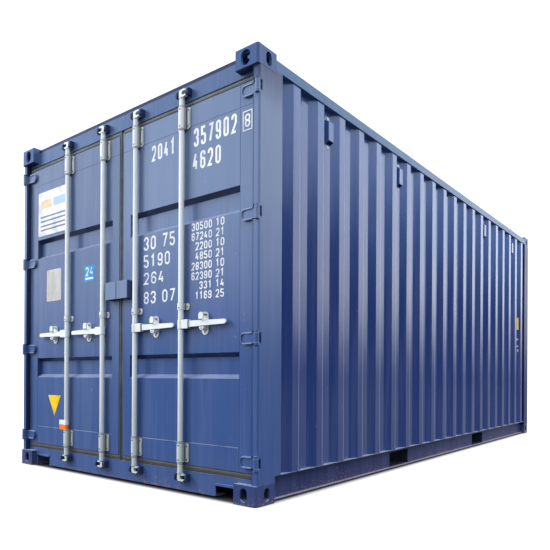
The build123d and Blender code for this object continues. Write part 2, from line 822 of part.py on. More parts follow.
def handle_retainer():
    """Oval plate behind a handle, with a rounded seat under it and a tongue that reaches over its front."""
    back = leaf_face - rod_axis_y
    outline = Pos(retainer_offset, (retainer_low + retainer_high) / 2) * SlotOverall(
        retainer_high - retainer_low, retainer_width, rotation=90)
    plate = lengthwise(outline, back - retainer_sheet, back)
    reach = (retainer_offset - handle_pin_offset) / (handle_length - handle_pin_offset)
    half = (handle_root_height + (handle_end_height - handle_root_height) * reach) / 2
    seat_top = handle_height - half - retainer_clearance
    seat_low = seat_top - seat_height
    catch_low = handle_height + half + retainer_clearance
    catch_high = retainer_high - catch_rim
    front_face = -handle_thickness / 2 - seat_front
    tongue = Pos(retainer_offset, (seat_low + catch_high) / 2) * SlotOverall(
        catch_high - seat_low, catch_width, rotation=90)
    across_tongue = (retainer_offset - catch_width / 2, retainer_offset + catch_width / 2)
    seat = tongue & rectangle_between(across_tongue, (seat_low, seat_top))
    catch = tongue & rectangle_between(across_tongue, (catch_low, catch_high))
    bridge = tongue & rectangle_between(across_tongue, (catch_high - catch_bridge, catch_high))
    body = plate + lengthwise(seat, front_face, back - retainer_sheet)
    body += lengthwise(catch, -catch_front, catch_sheet - catch_front)
    body += lengthwise(bridge, catch_sheet - catch_front, back - retainer_sheet)
    hole = Pos(retainer_offset, seat_top - seat_height / 2) * Circle(seat_hole_radius)
    return body - lengthwise(hole, front_face, back - retainer_sheet)


def keeper(claw_low, face_y):
    """Keeper on the surround: a low base with a round-ended cheek on each side of a claw."""
    middle = claw_low + claw_height / 2
    z = (middle - keeper_height / 2, middle + keeper_height / 2)
    face = face_y - rod_axis_y
    near = (-keeper_near_cheek - keeper_cheek, -keeper_near_cheek)
    far = (keeper_far_cheek, keeper_far_cheek + keeper_cheek)
    cheek = rectangle_between((face - keeper_reach, face), z)
    cheek = fillet(cheek.vertices().group_by(Axis.X)[0], keeper_corner)
    base = block((near[1], far[0]), (face - keeper_base, face), z)
    return base + across(cheek, *near) + across(cheek, *far)


def on_rods(shape):
    """The shape set on both rods of the right door."""
    return [Pos(x, rod_axis_y, 0) * shape for x in rod_positions]


def lock_box_half():
    """Right half of the lock box, open below and at the meeting line."""
    outer = block((lock_box_gap, lock_box_width), (lock_box_face, leaf_face), (lock_box_low, lock_box_high))
    inner = block((lock_box_gap, lock_box_width - lock_box_sheet), (lock_box_face + lock_box_sheet, leaf_face),
                  (lock_box_low, lock_box_high - lock_box_sheet))
    return outer - inner


def both_sides(name, shapes):
    """The right-hand piece and its mirror image on the left."""
    save(f"right_{name}", *shapes)
    save(f"left_{name}", *[other_side(shape) for shape in shapes])


os.makedirs("parts", exist_ok=True)

save("door_end_bottom_fittings", *fitting_pair(True, False))
save("door_end_top_fittings", *fitting_pair(True, True))
save("front_end_bottom_fittings", *fitting_pair(False, False))
save("front_end_top_fittings", *fitting_pair(False, True))
both_sides("door_post", [door_post()])
both_sides("front_post", [front_post()])
save("door_sill", sill())
save("door_header", header())
both_sides("bottom_side_rail", [bottom_side_rail()])
save("fork_pockets", fork_pocket(-pocket_spacing / 2), fork_pocket(pocket_spacing / 2))
save("cross_members", *cross_members())
save("floor_boards", *floor_boards())
save("front_bottom_rail", front_bottom_rail())
both_sides("top_side_rail", [top_side_rail()])
save("front_top_rail", front_top_rail())
save("roof_panel", roof_panel())
save("roof_end_plates", *roof_end_plates())
both_sides("side_wall", [side_wall()])
both_sides("side_vents", side_vents())
save("front_wall", front_wall())

both_sides("door_stiles", door_stiles())
both_sides("door_rails", door_rails())
both_sides("door_panel", [door_panel()])
both_sides("door_gasket", [door_gasket()])
both_sides("hinge_pins", hinge_pins())
both_sides("hinge_blades", hinge_blades())
brackets = [saddle(*bottom_saddle), saddle(*guide, ribbed=False), saddle(*top_saddle)]
both_sides("rod_brackets", [placed for bracket in brackets for placed in on_rods(bracket)])
both_sides("handle_retainers", on_rods(handle_retainer()))
both_sides("lock_box_half", [lock_box_half()])
keepers = [keeper(bottom_claw_low, surround_face_y), keeper(top_claw_low, surround_face_y)]
both_sides("cam_keepers", [placed for each in keepers for placed in on_rods(each)])
for place, rod in zip(("inner", "outer"), on_rods(lock_rod())):
    both_sides(f"{place}_lock_rod", [rod])
for place, bar in zip(("inner", "outer"), on_rods(handle())):
    both_sides(f"{place}_handle", [bar])
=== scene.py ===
import bpy
import bmesh
import math
from mathutils import Matrix, Vector


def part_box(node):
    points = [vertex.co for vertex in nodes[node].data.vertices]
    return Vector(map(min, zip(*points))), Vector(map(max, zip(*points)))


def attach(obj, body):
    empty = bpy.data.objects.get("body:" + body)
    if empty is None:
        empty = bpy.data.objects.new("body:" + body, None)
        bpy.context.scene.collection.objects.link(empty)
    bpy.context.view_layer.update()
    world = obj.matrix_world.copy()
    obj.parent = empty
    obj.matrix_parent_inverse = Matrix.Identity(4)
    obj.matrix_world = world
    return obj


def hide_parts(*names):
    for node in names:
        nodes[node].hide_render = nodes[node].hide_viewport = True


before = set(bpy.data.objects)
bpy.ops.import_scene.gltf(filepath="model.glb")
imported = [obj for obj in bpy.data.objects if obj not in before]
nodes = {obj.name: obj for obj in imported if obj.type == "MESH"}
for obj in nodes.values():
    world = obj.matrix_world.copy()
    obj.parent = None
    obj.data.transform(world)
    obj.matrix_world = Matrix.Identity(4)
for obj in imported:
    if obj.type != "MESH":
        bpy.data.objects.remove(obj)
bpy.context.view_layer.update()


# Camera
# The photo is taken from beside the door end, low down and level, so the uprights stay upright.
# The lens shift puts the horizon low in the frame, and the container fills the picture.
camera_place = Vector((3.128, -5.583, 0.730))
camera_turn = math.radians(41.49)
camera_roll = math.radians(0.293)
photo_width = 550.0
focal_pixels = 574.4
axis_pixel = (209.2, 376.5)


def in_scene(name, data):
    """A new object of the scene."""
    thing = bpy.data.objects.new(name, data)
    bpy.context.scene.collection.objects.link(thing)
    return thing


camera_data = bpy.data.cameras.new("camera")
camera_data.sensor_width = 36.0
camera_data.lens = focal_pixels / photo_width * camera_data.sensor_width
camera_data.shift_x = 0.5 - axis_pixel[0] / photo_width
camera_data.shift_y = axis_pixel[1] / photo_width - 0.5
camera_data.clip_end = 200.0
camera = in_scene("camera", camera_data)
camera.matrix_world = (Matrix.Translation(camera_place) @ Matrix.Rotation(camera_turn, 4, "Z")
                       @ Matrix.Rotation(math.radians(90.0), 4, "X") @ Matrix.Rotation(camera_roll, 4, "Z"))
bpy.context.scene.camera = camera
bpy.context.scene.view_settings.view_transform = "Standard"


# Floor, backdrop and light
# A pale floor under a white sky, with one broad lamp before the doors and one beyond the side wall.
# The sky grows brighter towards the top, as on an overcast day, and the floor gives back little.
def operator(operation, swapped=False):
    """A method that adds one Math node."""
    def method(self, other):
        return self.math(operation, other, self) if swapped else self.math(operation, self, other)
    return method


class Wire:
    """An output in a node tree, for which + - * and / add Math nodes."""

    __add__ = operator("ADD")
    __radd__ = operator("ADD", swapped=True)
    __sub__ = operator("SUBTRACT")
    __rsub__ = operator("SUBTRACT", swapped=True)
    __mul__ = operator("MULTIPLY")
    __rmul__ = operator("MULTIPLY", swapped=True)
    __truediv__ = operator("DIVIDE")
    at_least = operator("MAXIMUM")
    at_most = operator("MINIMUM")

    def __init__(self, tree, socket=None):
        self.tree = tree
        self.socket = socket

    def node(self, kind, links=None, settings=None, output=0):
        """Adds a node with the values or wires of its inputs and its other settings."""
        made = self.tree.nodes.new(kind)
        for name, value in (settings or {}).items():
            setattr(made, name, value)
        for key, value in (links or {}).items():
            if isinstance(value, Wire):
                self.tree.links.new(value.socket, made.inputs[key])
            else:
                made.inputs[key].default_value = value
        return Wire(self.tree, made.outputs[output] if made.outputs else None)

    def output(self, name):
        """Another output of the same node."""
        return Wire(self.tree, self.socket.node.outputs[name])

    def math(self, operation, first, second=0.0):
        return self.node("ShaderNodeMath", {0: first, 1: second}, {"operation": operation})

    def __abs__(self):
        return self.math("ABSOLUTE", self)

    def fraction(self):
        return self.math("FRACT", self)

    def rise(self, low, high):
        """0 at low and 1 at high, with a smooth step between; low may be above high."""
        if low > high:
            return 1.0 - self.rise(high, low)
        return self.node("ShaderNodeMapRange", {"Value": self, "From Min": low, "From Max": high},
                         {"interpolation_type": "SMOOTHSTEP"})

    def mix(self, first, second):
        """The first colour where this mask is 0 and the second where it is 1."""
        return self.node("ShaderNodeMix", {0: self, 6: first, 7: second}, {"data_type": "RGBA"}, output=2)


def new_tree(owner):
    """The emptied node tree of a material or the world."""
    owner.use_nodes = True
    owner.node_tree.nodes.clear()
    return Wire(owner.node_tree)


def new_material(name):
    """A material with its emptied tree and the object's own coordinates."""
    material = bpy.data.materials.new(name)
    wire = new_tree(material)
    return material, wire, wire.node("ShaderNodeTexCoord", output=3)


def colour(red, green, blue):
    """A colour given as a screen shows it, 0 to 255, in the linear values that a shader takes."""
    linear = [((part / 255.0 + 0.055) / 1.055) ** 2.4 if part > 10 else part / 255.0 / 12.92
              for part in (red, green, blue)]
    return (*linear, 1.0)


def axes_of(wire, place):
    """The three coordinates of a place as numbers."""
    parts = wire.node("ShaderNodeSeparateXYZ", {0: place})
    return [parts.output(axis) for axis in "XYZ"]


def ray_kinds(wire):
    """1 for rays that see the surroundings, and 1 for those that mirror them in a glossy face."""
    path = wire.node("ShaderNodeLightPath")
    return path.output("Is Camera Ray") + path.output("Is Transmission Ray"), path.output("Is Glossy Ray")


sky_colour = (0.93, 0.97, 1.03, 1.0)
sky_shown = 1.3
sky_light = 2.0
# Glossy paint mirrors a bright band over the horizon, dimmer high up before the doors and brighter far along.
sky_gloss = 2.15
bright_edge = (-0.02, 0.17)
horizon_start = 0.5
horizon_slope = 0.56
high_dip_share = 0.5
high_dip_edge = (0.26, 0.46)
side_dip_loss = 0.6
side_edge = (-0.1, 0.4)
far_gain = 0.12
far_edge = (0.6, 0.95)
ground_gloss = 0.22
floor_half = 60.0
floor_light = (0.05, 0.05, 0.05, 1.0)
floor_tone = (0.42, 0.42, 0.42, 1.0)
floor_glow = 0.60
# The floor has a painted shadow under the container: dark up to the first of these half widths, light past
# the second.
shade_x = (1.17, 1.25)
shade_y = (2.98, 3.06)

world = bpy.data.worlds.new("studio")
bpy.context.scene.world = world
sky = new_tree(world)
seen, mirrored = ray_kinds(sky)
sky_x, sky_y, sky_z = axes_of(sky, sky.node("ShaderNodeTexCoord"))
overcast = sky_light * (1.0 + 2.0 * sky_z.at_least(0.0)) / 3.0
horizon = (sky_x - horizon_start).at_least(0.0) * horizon_slope
high_dip = high_dip_share * sky_z.rise(*high_dip_edge) * (1.0 - sky_y.rise(*side_edge) * side_dip_loss)
far_light = 1.0 + sky_y.rise(*far_edge) * far_gain
bright_band = (sky_z - horizon).rise(*bright_edge) * (1.0 - high_dip)
gloss = ground_gloss + (sky_gloss * far_light - ground_gloss) * bright_band
strength = seen * sky_shown + mirrored * gloss + (1.0 - seen - mirrored) * overcast
sky_shader = sky.node("ShaderNodeBackground", {"Color": sky_colour, "Strength": strength})
sky.node("ShaderNodeOutputWorld", {"Surface": sky_shader})

floor_mesh = bpy.data.meshes.new("studio_floor")
floor_mesh.from_pydata([(-floor_half, -floor_half, 0.0), (floor_half, -floor_half, 0.0),
                        (floor_half, floor_half, 0.0), (-floor_half, floor_half, 0.0)], [], [(0, 1, 2, 3)])
floor = in_scene("studio_floor", floor_mesh)
floor_material, ground, spot = new_material("studio_floor")
seen, mirrored = ray_kinds(ground)
spot_x, spot_y, _ = axes_of(ground, spot)
# A painted shadow on the floor under the container.
under_shadow = abs(spot_x).rise(shade_x[1], shade_x[0]) * abs(spot_y).rise(shade_y[1], shade_y[0])
open_floor = seen * (1.0 - under_shadow)
floor_colour = open_floor.mix(floor_light, floor_tone)
ground_diffuse = ground.node("ShaderNodeBsdfDiffuse", {"Color": floor_colour})
glow = open_floor * floor_glow + mirrored * ground_gloss
ground_glow = ground.node("ShaderNodeEmission", {"Color": (1.0, 1.0, 1.0, 1.0), "Strength": glow})
ground_shader = ground.node("ShaderNodeAddShader", {0: ground_diffuse, 1: ground_glow})
ground.node("ShaderNodeOutputMaterial", {"Surface": ground_shader})
floor_mesh.materials.append(floor_material)


def area_lamp(name, place, aim, size, power):
    """A broad square lamp that points at a place, without a mirror image of itself in the paint."""
    data = bpy.data.lights.new(name, "AREA")
    data.shape = "SQUARE"
    data.size = size
    data.energy = power
    lamp = in_scene(name, data)
    facing = (Vector(aim) - Vector(place)).to_track_quat("-Z", "Y").to_matrix().to_4x4()
    lamp.matrix_world = Matrix.Translation(place) @ facing
    lamp.visible_glossy = False


area_lamp("door_lamp", (-8.0, -9.0, 7.0), (0.0, -3.0, 1.2), 5.0, 1200.0)
area_lamp("side_lamp", (10.0, 8.0, 9.0), (1.2, 0.0, 1.2), 8.0, 1000.0)


# Blue painted steel
# Frame, walls and doors are steel under one coat of blue marine paint, paler towards the top: part chalking,
# part a painted sheen.
# Rain has drawn faint streaks down it, and road dust has settled on its foot and ledges.
fresh_blue = colour(58, 86, 142)
faded_and_sheen_blue = colour(110, 130, 166)
dust_colour = colour(104, 108, 120)
scuff_colour = colour(150, 162, 190)
# Some of these stand for light too: the streak, seam and deep colours give painted shade, the ledge and rim
# colours painted highlights, the flat colour a painted sheen.
streak_and_shade_colour = colour(30, 46, 96)
seam_and_shade_colour = colour(34, 46, 84)
painted_shade_colour = colour(16, 30, 76)
ledge_dust_and_highlight_colour = colour(160, 168, 186)
flat_sheen_colour = colour(84, 94, 134)
highlight_colour = colour(158, 176, 210)
rust_colour = colour(170, 114, 78)
highlight_line_half = 0.003
highlight_line_share = 0.55


def noise(wire, place, scale, stretch=(1.0, 1.0, 1.0), detail=4.0):
    """Soft noise over the object's own coordinates, about 0.3 to 0.7."""
    mapped = wire.node("ShaderNodeMapping", {"Vector": place, "Scale": stretch})
    return wire.node("ShaderNodeTexNoise", {"Vector": mapped, "Scale": scale, "Detail": detail})


def relief(wire, height, strength, reach, **other):
    """The normal of a finely uneven surface, over another normal if one is given."""
    return wire.node("ShaderNodeBump", {"Height": height, "Strength": strength, "Distance": reach, **other})


def finish_surface(wire, tone, roughness, normal, **other):
    """Ends a material with one principled surface."""
    links = {"Base Color": tone, "Roughness": roughness, "Normal": normal, **other}
    wire.node("ShaderNodeOutputMaterial", {"Surface": wire.node("ShaderNodeBsdfPrincipled", links)})


def seam_mask(across, high, seams_x, seams_z, seam_half):
    """1 along thin upright and level lines, such as the seams between tubes and sheet of a leaf."""
    mask = 0.0
    for seam in seams_x:
        mask = abs(abs(across) - seam).rise(2 * seam_half, seam_half) + mask
    for seam in seams_z:
        mask = abs(high - seam).rise(2 * seam_half, seam_half) + mask
    return mask.at_most(1.0)


# The next three say where a coat gets painted shade, from the place across and the direction of the face.
def down_facing_shade(across, normal_x, normal_z):
    """Faces that look down, darkened with painted shade."""
    return normal_z.rise(-0.15, -0.6)


def side_facing_shade(across, normal_x, normal_z):
    """Faces that look to the left or right, darkened with painted shade."""
    return abs(normal_x).rise(0.6, 0.9)


def post_pocket_shade(across, normal_x, normal_z):
    """The inner faces of the posts beside the hinges, darkened with painted shade."""
    return abs(across).rise(1.183, 1.176)


def bend_highlight(along, high, streaks, first_bend, pitch, bend_highlight_half):
    """A painted highlight along the upright bends of a wall, more of it towards the foot."""
    phase = (along - first_bend) / pitch
    off_bend = 0.5 - abs(phase.fraction() - 0.5)
    worn = off_bend.rise(2 * bend_highlight_half / pitch, bend_highlight_half / pitch) * high.rise(2.9, 1.2)
    return worn * (0.25 + streaks * 0.4)


def level_weld_highlight(across, high, clouds, middle, reach, height, half):
    """An uneven level line of painted highlight on both leaves, as far as the reach on each side of its
    middle.
    """
    line = abs(high - height + clouds * 0.004).rise(2 * half, half)
    return line * abs(abs(across) - middle).rise(reach, reach - 0.01)


def rust_chips(wire, place, high, clouds):
    """Small chips low on the frame, most of them along its lower edge."""
    near_edge = high.rise(0.026, 0.014) * 0.10
    chips = (noise(wire, place, 70.0, detail=6.0) + clouds * 0.3 + near_edge).rise(0.76, 0.80)
    return chips * high.rise(0.10, 0.04)


def paint(name, fresh=fresh_blue, faded_and_sheen_tone=faded_and_sheen_blue, fade_and_sheen_heights=(0.8, 2.0), top_shade=0.0, dusty=0.14,
          streaky=1.0, rough=0.24, cast=0.0, rust=0.0, gloss=1.38, seams_x=(), seams_z=(), seam_half=0.0016,
          seam_share=0.55, highlight_rims_z=(), weld_highlight_place=None, shade_where=None, shade_share=0.7, ledge_dust=0.0,
          flat_sheen=0.0, bend_highlights=None):
    """Blue paint that grows paler with height, partly chalking and partly a painted sheen, with streaks,
    dust, scuffs and a slight orange peel.
    """
    material, wire, place = new_material(name)
    across, along, high = axes_of(wire, place)
    normal_x, _, normal_z = axes_of(wire, wire.node("ShaderNodeNewGeometry", output=1))
    clouds = noise(wire, place, 1.3)
    streaks = noise(wire, place, 14.0, (1.0, 1.0, 0.06), 6.0)
    fine_streaks = noise(wire, place, 46.0, (1.0, 1.0, 0.04), 3.0)
    grain = noise(wire, place, 160.0, detail=2.0)
    # Paler with height: partly chalking, partly a painted sheen of the sky.
    fade_and_sheen_share = (high + clouds * 0.6 - 0.3).rise(*fade_and_sheen_heights)
    final = fade_and_sheen_share.mix(fresh, faded_and_sheen_tone)
    # Painted shade darkens the top, by the share that top_shade gives.
    final = (high.rise(2.22, 2.50) * top_shade).mix(final, streak_and_shade_colour)
    pale_runs = (streaks + fine_streaks * 0.4).rise(0.62, 0.86) * (0.07 * streaky)
    final = pale_runs.mix(final, scuff_colour)
    dark_runs = (fine_streaks + streaks * 0.5).rise(0.68, 0.50) * (0.09 * streaky)
    final = dark_runs.mix(final, streak_and_shade_colour)
    dust = (high + streaks * 0.5 + clouds * 0.3).rise(0.70, 0.30) * dusty
    final = dust.mix(final, dust_colour)
    marks = (noise(wire, place, 30.0, (1.0, 1.0, 0.5), 6.0) + grain * 0.15).rise(0.80, 0.84) * 0.3
    final = marks.mix(final, scuff_colour)
    # Painted shade, on the faces that the shade mask picks out.
    if shade_where:
        final = (shade_where(across, normal_x, normal_z) * shade_share).mix(final, painted_shade_colour)
    # A painted sheen: the flat faces of the waves are paler low on the wall.
    if flat_sheen:
        final = (abs(normal_x).rise(0.90, 0.99) * high.rise(1.6, 0.5) * flat_sheen).mix(final, flat_sheen_colour)
    # A painted highlight along the bends of the waves.
    if bend_highlights:
        final = bend_highlight(along, high, streaks, *bend_highlights).mix(final, highlight_colour)
    if ledge_dust:
        final = (normal_z.rise(0.3, 0.6) * (0.5 + streaks * 0.8) * ledge_dust).mix(final, ledge_dust_and_highlight_colour)
    # A painted highlight along a level weld line.
    if weld_highlight_place:
        weld = level_weld_highlight(across, high, clouds, *weld_highlight_place, seam_half)
        final = (weld * (streaks + grain * 0.3).rise(0.35, 0.7) * 0.6).mix(final, ledge_dust_and_highlight_colour)
    # Dark seam lines; on the leaves and along the header's top edge they are painted shade.
    if seams_x or seams_z:
        final = (seam_mask(across, high, seams_x, seams_z, seam_half) * seam_share).mix(final, seam_and_shade_colour)
    # Painted highlights along level rims.
    if highlight_rims_z:
        final = (seam_mask(across, high, (), highlight_rims_z, highlight_line_half) * highlight_line_share).mix(final, highlight_colour)
    if rust:
        final = (rust_chips(wire, place, high, clouds) * rust).mix(final, rust_colour)
    roughness = rough + clouds * 0.10 + fade_and_sheen_share * 0.06 + dust * 0.5 + streaks * 0.06
    waves = noise(wire, place, 2.6, (1.0, 1.0, 0.6), 2.0)
    lumps = noise(wire, place, 90.0, detail=3.0)
    bevel = wire.node("ShaderNodeBevel", {"Radius": 0.0025}, {"samples": 4})
    wavy = relief(wire, waves, 0.5, 0.01, Normal=bevel)
    peel = relief(wire, grain * 0.4 + lumps * 0.6, 0.15 + cast, 0.001, Normal=wavy)
    finish_surface(wire, final, roughness, peel, IOR=gloss)
    return material


def finish_nodes(material, *names):
    """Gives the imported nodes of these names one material."""
    for name in names:
        for slot in nodes[name].material_slots:
            slot.material = material


def both(*names):
    """The right-hand and left-hand node of each name."""
    return [f"{side}_{name}" for side in ("right", "left") for name in names]


# Corner fittings
# Eight hollow steel castings that carry every load, for lifting locks from above, the side or the end.
# They are cast rough, welded to the posts and rails, and painted with them; the low ones are chipped.
low_cast_blue = colour(48, 66, 118)
low_cast_paint = paint("low_cast_paint", low_cast_blue, low_cast_blue, dusty=0.10, cast=0.35, rust=0.6,
                       gloss=1.25, ledge_dust=0.9)
finish_nodes(low_cast_paint, "door_end_bottom_fittings", "front_end_bottom_fittings")
casting_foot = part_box("door_end_top_fittings")[0][2]
foot_seam_half = 0.002
top_cast_blue = colour(72, 98, 144)
top_cast_paint = paint("top_cast_paint", top_cast_blue, top_cast_blue, dusty=0.0, cast=0.35, gloss=1.25,
                       seams_z=(casting_foot + foot_seam_half,), seam_half=foot_seam_half, seam_share=0.8)
finish_nodes(top_cast_paint, "door_end_top_fittings", "front_end_top_fittings")


# Posts, rails, sill and header
# Pressed steel sections between the fittings: bent plate posts, channel sills and square top rails.
# They are welded up first and painted with the walls in one coat.
# Painted shade on the inner faces of the posts and towards their top.
post_paint = paint("post_paint", top_shade=0.8, dusty=0.08, shade_where=post_pocket_shade, shade_share=0.85,
                   ledge_dust=0.7)
finish_nodes(post_paint, *both("door_post", "hinge_pins"))
sill_paint = paint("sill_paint", dusty=0.12, rust=0.4, ledge_dust=0.7)
finish_nodes(sill_paint, "door_sill", "front_bottom_rail")
# A dark line of painted shade along the header's top edge, where it meets the roof; a little painted shade on
# top.
header_edge_half = 0.009
header_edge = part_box("door_header")[1][2] - header_edge_half
header_paint = paint("header_paint", faded_and_sheen_tone=colour(84, 110, 152), fade_and_sheen_heights=(0.8, 2.6), top_shade=0.1,
                     seams_z=(header_edge,), seam_half=header_edge_half, seam_share=1.0)
finish_nodes(header_paint, "door_header")
beam_paint = paint("beam_paint", faded_and_sheen_tone=colour(60, 102, 148), fade_and_sheen_heights=(0.8, 2.6))
finish_nodes(beam_paint, "front_top_rail", *both("top_side_rail"))
rail_blue = colour(24, 42, 94)
rail_paint = paint("rail_paint", rail_blue, rail_blue, dusty=0.10, rust=0.5, gloss=1.25, ledge_dust=1.0)
finish_nodes(rail_paint, *both("bottom_side_rail", "front_post"))


# Underframe
# Cross members and fork tunnels under the floor, coated with dark wax against spray from the road.
under_coat = paint("under_coat", colour(24, 30, 48), colour(30, 38, 60), streaky=0.4, cast=0.2)
finish_nodes(under_coat, "cross_members", "fork_pockets")


# Floor boards
# The floor is thick plywood laid across the cross members, oiled dark and scuffed by pallets.
# Countersunk screws hold it down, too small to show from outside, and are left out.
def plywood(name):
    """Ply with its face grain along the boards and scuffed patches."""
    material, wire, place = new_material(name)
    grain = noise(wire, place, 9.0, (4.0, 0.15, 4.0), 8.0)
    fine = noise(wire, place, 60.0, (4.0, 0.1, 4.0), 3.0)
    scuffs = noise(wire, place, 3.0, detail=6.0)
    body = (grain * 0.8 + fine * 0.3).rise(0.35, 0.75).mix(colour(92, 62, 40), colour(150, 108, 70))
    worn = scuffs.rise(0.52, 0.72) * 0.5
    final = worn.mix(body, colour(124, 110, 94))
    finish_surface(wire, final, 0.55 + scuffs * 0.3, relief(wire, fine, 0.3, 0.001))
    return material


deck_wood = plywood("deck_wood")
finish_nodes(deck_wood, "floor_boards")


# Side walls, front wall and their vents
# Weathering steel sheets of about two millimetres, pressed into upright waves and welded edge to edge.
# The small hoods near the top rails let air out and keep spray from coming in.
wall_outer = 1.212
wall_inner = 1.178
wall_start = -2.7645
wave_pitch = 0.2814
inner_half = 0.035
wave_slope = 0.068
outer_flat = 0.0754
wave_count = 20
far_bend = wall_start + inner_half + wave_slope + outer_flat
bend_highlight_half = 0.0025
bend_set_back = 0.003
wall_bend_highlights = (far_bend - bend_set_back, wave_pitch, bend_highlight_half)
# Painted highlights along the far bend of each wave, and a painted sheen on the flat faces low down.
wall_paint = paint("wall_paint", colour(22, 52, 118), colour(70, 104, 164), fade_and_sheen_heights=(1.2, 2.7), dusty=0.02,
                   rough=0.05, gloss=1.55, flat_sheen=0.3, bend_highlights=wall_bend_highlights)
finish_nodes(wall_paint, "front_wall", *both("side_wall", "side_vents"))


# Roof
# A thin sheet with ribs pressed across it so that water runs off, flat plates at both ends.
roof_paint = paint("roof_paint", fade_and_sheen_heights=(1.2, 2.4))
finish_nodes(roof_paint, "roof_panel", "roof_end_plates")


# Weld beads
# The walls are welded to the rails along every wave, and posts and rails to the castings all round.
# Each bead is a row of small overlapping ripples, laid by a welding robot before painting.
bead_radius = 0.0032
bead_pitch = 0.0085
bead_lift = 0.0012
rail_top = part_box("right_bottom_side_rail")[1][2]
rail_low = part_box("right_top_side_rail")[0][2]
wall_end_gap = 0.012


def wall_line(height):
    """The path of the right side wall's outer face at one height."""
    points = [Vector((wall_inner + bead_lift, wall_start - inner_half + wall_end_gap, height))]
    for index in range(wave_count):
        middle = wall_start + index * wave_pitch
        for along, out in ((inner_half, wall_inner), (inner_half + wave_slope, wall_outer),
                           (inner_half + wave_slope + outer_flat, wall_outer),
                           (inner_half + 2 * wave_slope + outer_flat, wall_inner)):
            points.append(Vector((out + bead_lift, middle + along, height)))
    points.append(Vector((wall_inner + bead_lift, wall_start + wave_count * wave_pitch + inner_half, height)))
    return points


def other_hand(paths):
    """The paths and their mirror images across the container."""
    return paths + [[Vector((-point.x, point.y, point.z)) for point in path] for path in paths]


def path_mesh(name, paths):
    """A mesh of loose edges along the paths, for a tree to grow from."""
    mesh = bpy.data.meshes.new(name)
    points = []
    edges = []
    for path in paths:
        edges += [(len(points) + index, len(points) + index + 1) for index in range(len(path) - 1)]
        points += [tuple(point) for point in path]
    mesh.from_pydata(points, edges, [])
    return mesh


def new_growth(name, *sizes):
    """A Geometry Nodes tree with its wire and its inputs: the geometry and a number for each size."""
    tree = bpy.data.node_groups.new(name, "GeometryNodeTree")
    tree.interface.new_socket("Geometry", in_out="INPUT", socket_type="NodeSocketGeometry")
    for size in sizes:
        tree.interface.new_socket(size, in_out="INPUT", socket_type="NodeSocketFloat")
    tree.interface.new_socket("Geometry", in_out="OUTPUT", socket_type="NodeSocketGeometry")
    wire = Wire(tree)
    return tree, wire, wire.node("NodeGroupInput")


def finish_growth(wire, instances, material):
    """Ends a tree: its instances are made real and given their material."""
    real = wire.node("GeometryNodeRealizeInstances", {"Geometry": instances})
    dressed = wire.node("GeometryNodeSetMaterial", {"Geometry": real, "Material": material})
    wire.node("NodeGroupOutput", {"Geometry": dressed})


def grow(start, tree, **sizes):
    """Runs a tree on a mesh and gives back the plain mesh that comes out."""
    carrier = in_scene(start.name, start)
    modifier = carrier.modifiers.new(tree.name, "NODES")
    modifier.node_group = tree
    for item in tree.interface.items_tree:
        if item.in_out == "INPUT" and item.name in sizes:
            modifier[item.identifier] = sizes[item.name]
    shown = carrier.evaluated_get(bpy.context.evaluated_depsgraph_get())
    mesh = bpy.data.meshes.new_from_object(shown)
    carrier.modifiers.clear()
    bpy.data.objects.remove(carrier)
    return mesh


def add_piece(name, mesh, material, body):
    """Adds a finished mesh as a piece that moves with a body."""
    mesh.materials.clear()
    mesh.materials.append(material)
    piece = in_scene(name, mesh)
    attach(piece, body)
    return piece


def bead_growth(material):
    """Ripples of weld along paths, each a flat drop turned along its path."""
    tree, wire, given = new_growth("weld_bead", "radius", "pitch")
    line = wire.node("GeometryNodeMeshToCurve", {"Mesh": given.output("Geometry")})
    spaced = wire.node("GeometryNodeResampleCurve", {"Curve": line, "Length": given.output("pitch")},
                       {"mode": "LENGTH"})
    drop = wire.node("GeometryNodeMeshIcoSphere", {"Radius": given.output("radius"), "Subdivisions": 1})
    tangent = wire.node("GeometryNodeInputTangent")
    turn = wire.node("FunctionNodeAlignEulerToVector", {"Vector": tangent}, {"axis": "X"})
    size = wire.node("FunctionNodeRandomValue", {"Min": 0.85, "Max": 1.15, "Seed": 4}, {"data_type": "FLOAT"},
                     output=1)
    stretch = wire.node("ShaderNodeCombineXYZ", {"X": size * 1.7, "Y": size, "Z": size})
    drops = wire.node("GeometryNodeInstanceOnPoints", {"Points": spaced, "Instance": drop, "Rotation": turn,
                                                       "Scale": stretch})
    finish_growth(wire, drops, material)
    return tree


weld_paint = paint("weld_paint", colour(112, 128, 168), colour(128, 142, 176), streaky=0.0)
weld_growth = bead_growth(weld_paint)
wall_paths = other_hand([wall_line(rail_top + bead_lift), wall_line(rail_low - bead_lift)])
wall_welds = grow(path_mesh("wall_weld_lines", wall_paths), weld_growth, radius=bead_radius, pitch=bead_pitch)
add_piece("wall_welds", wall_welds, wall_paint, "container_frame")

(_, post_front, post_low), (side_face, _, _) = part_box("right_door_post")
post_bend = 0.012
casting_end = -2.851
bead_front = post_front - bead_lift
groove = 0.0040
bead_side = side_face - groove
front_post_inner = 1.06
front_post_lifts = (0.0092, 0.0050)
casting_side = 1.056
casting_heights = ((0.0135, 0.117), (2.474, 2.574))
header_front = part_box("door_header")[0][1] - bead_lift
frame_paths = []
for height in (post_low, casting_foot):
    door_corner = ((wall_inner, bead_front), (side_face - post_bend, bead_front),
                   (bead_side, post_front + post_bend), (bead_side, casting_end))
    front_corner = ((front_post_inner, front_post_lifts[0] - post_front),
                    (bead_side, front_post_lifts[1] - post_front), (bead_side, -casting_end))
    frame_paths += [[Vector((x, y, height)) for x, y in corner] for corner in (door_corner, front_corner)]
for ends in casting_heights:
    frame_paths.append([Vector((casting_side, header_front, height)) for height in ends])
frame_lines = path_mesh("frame_weld_lines", other_hand(frame_paths))
frame_welds = grow(frame_lines, weld_growth, radius=bead_radius, pitch=bead_pitch)
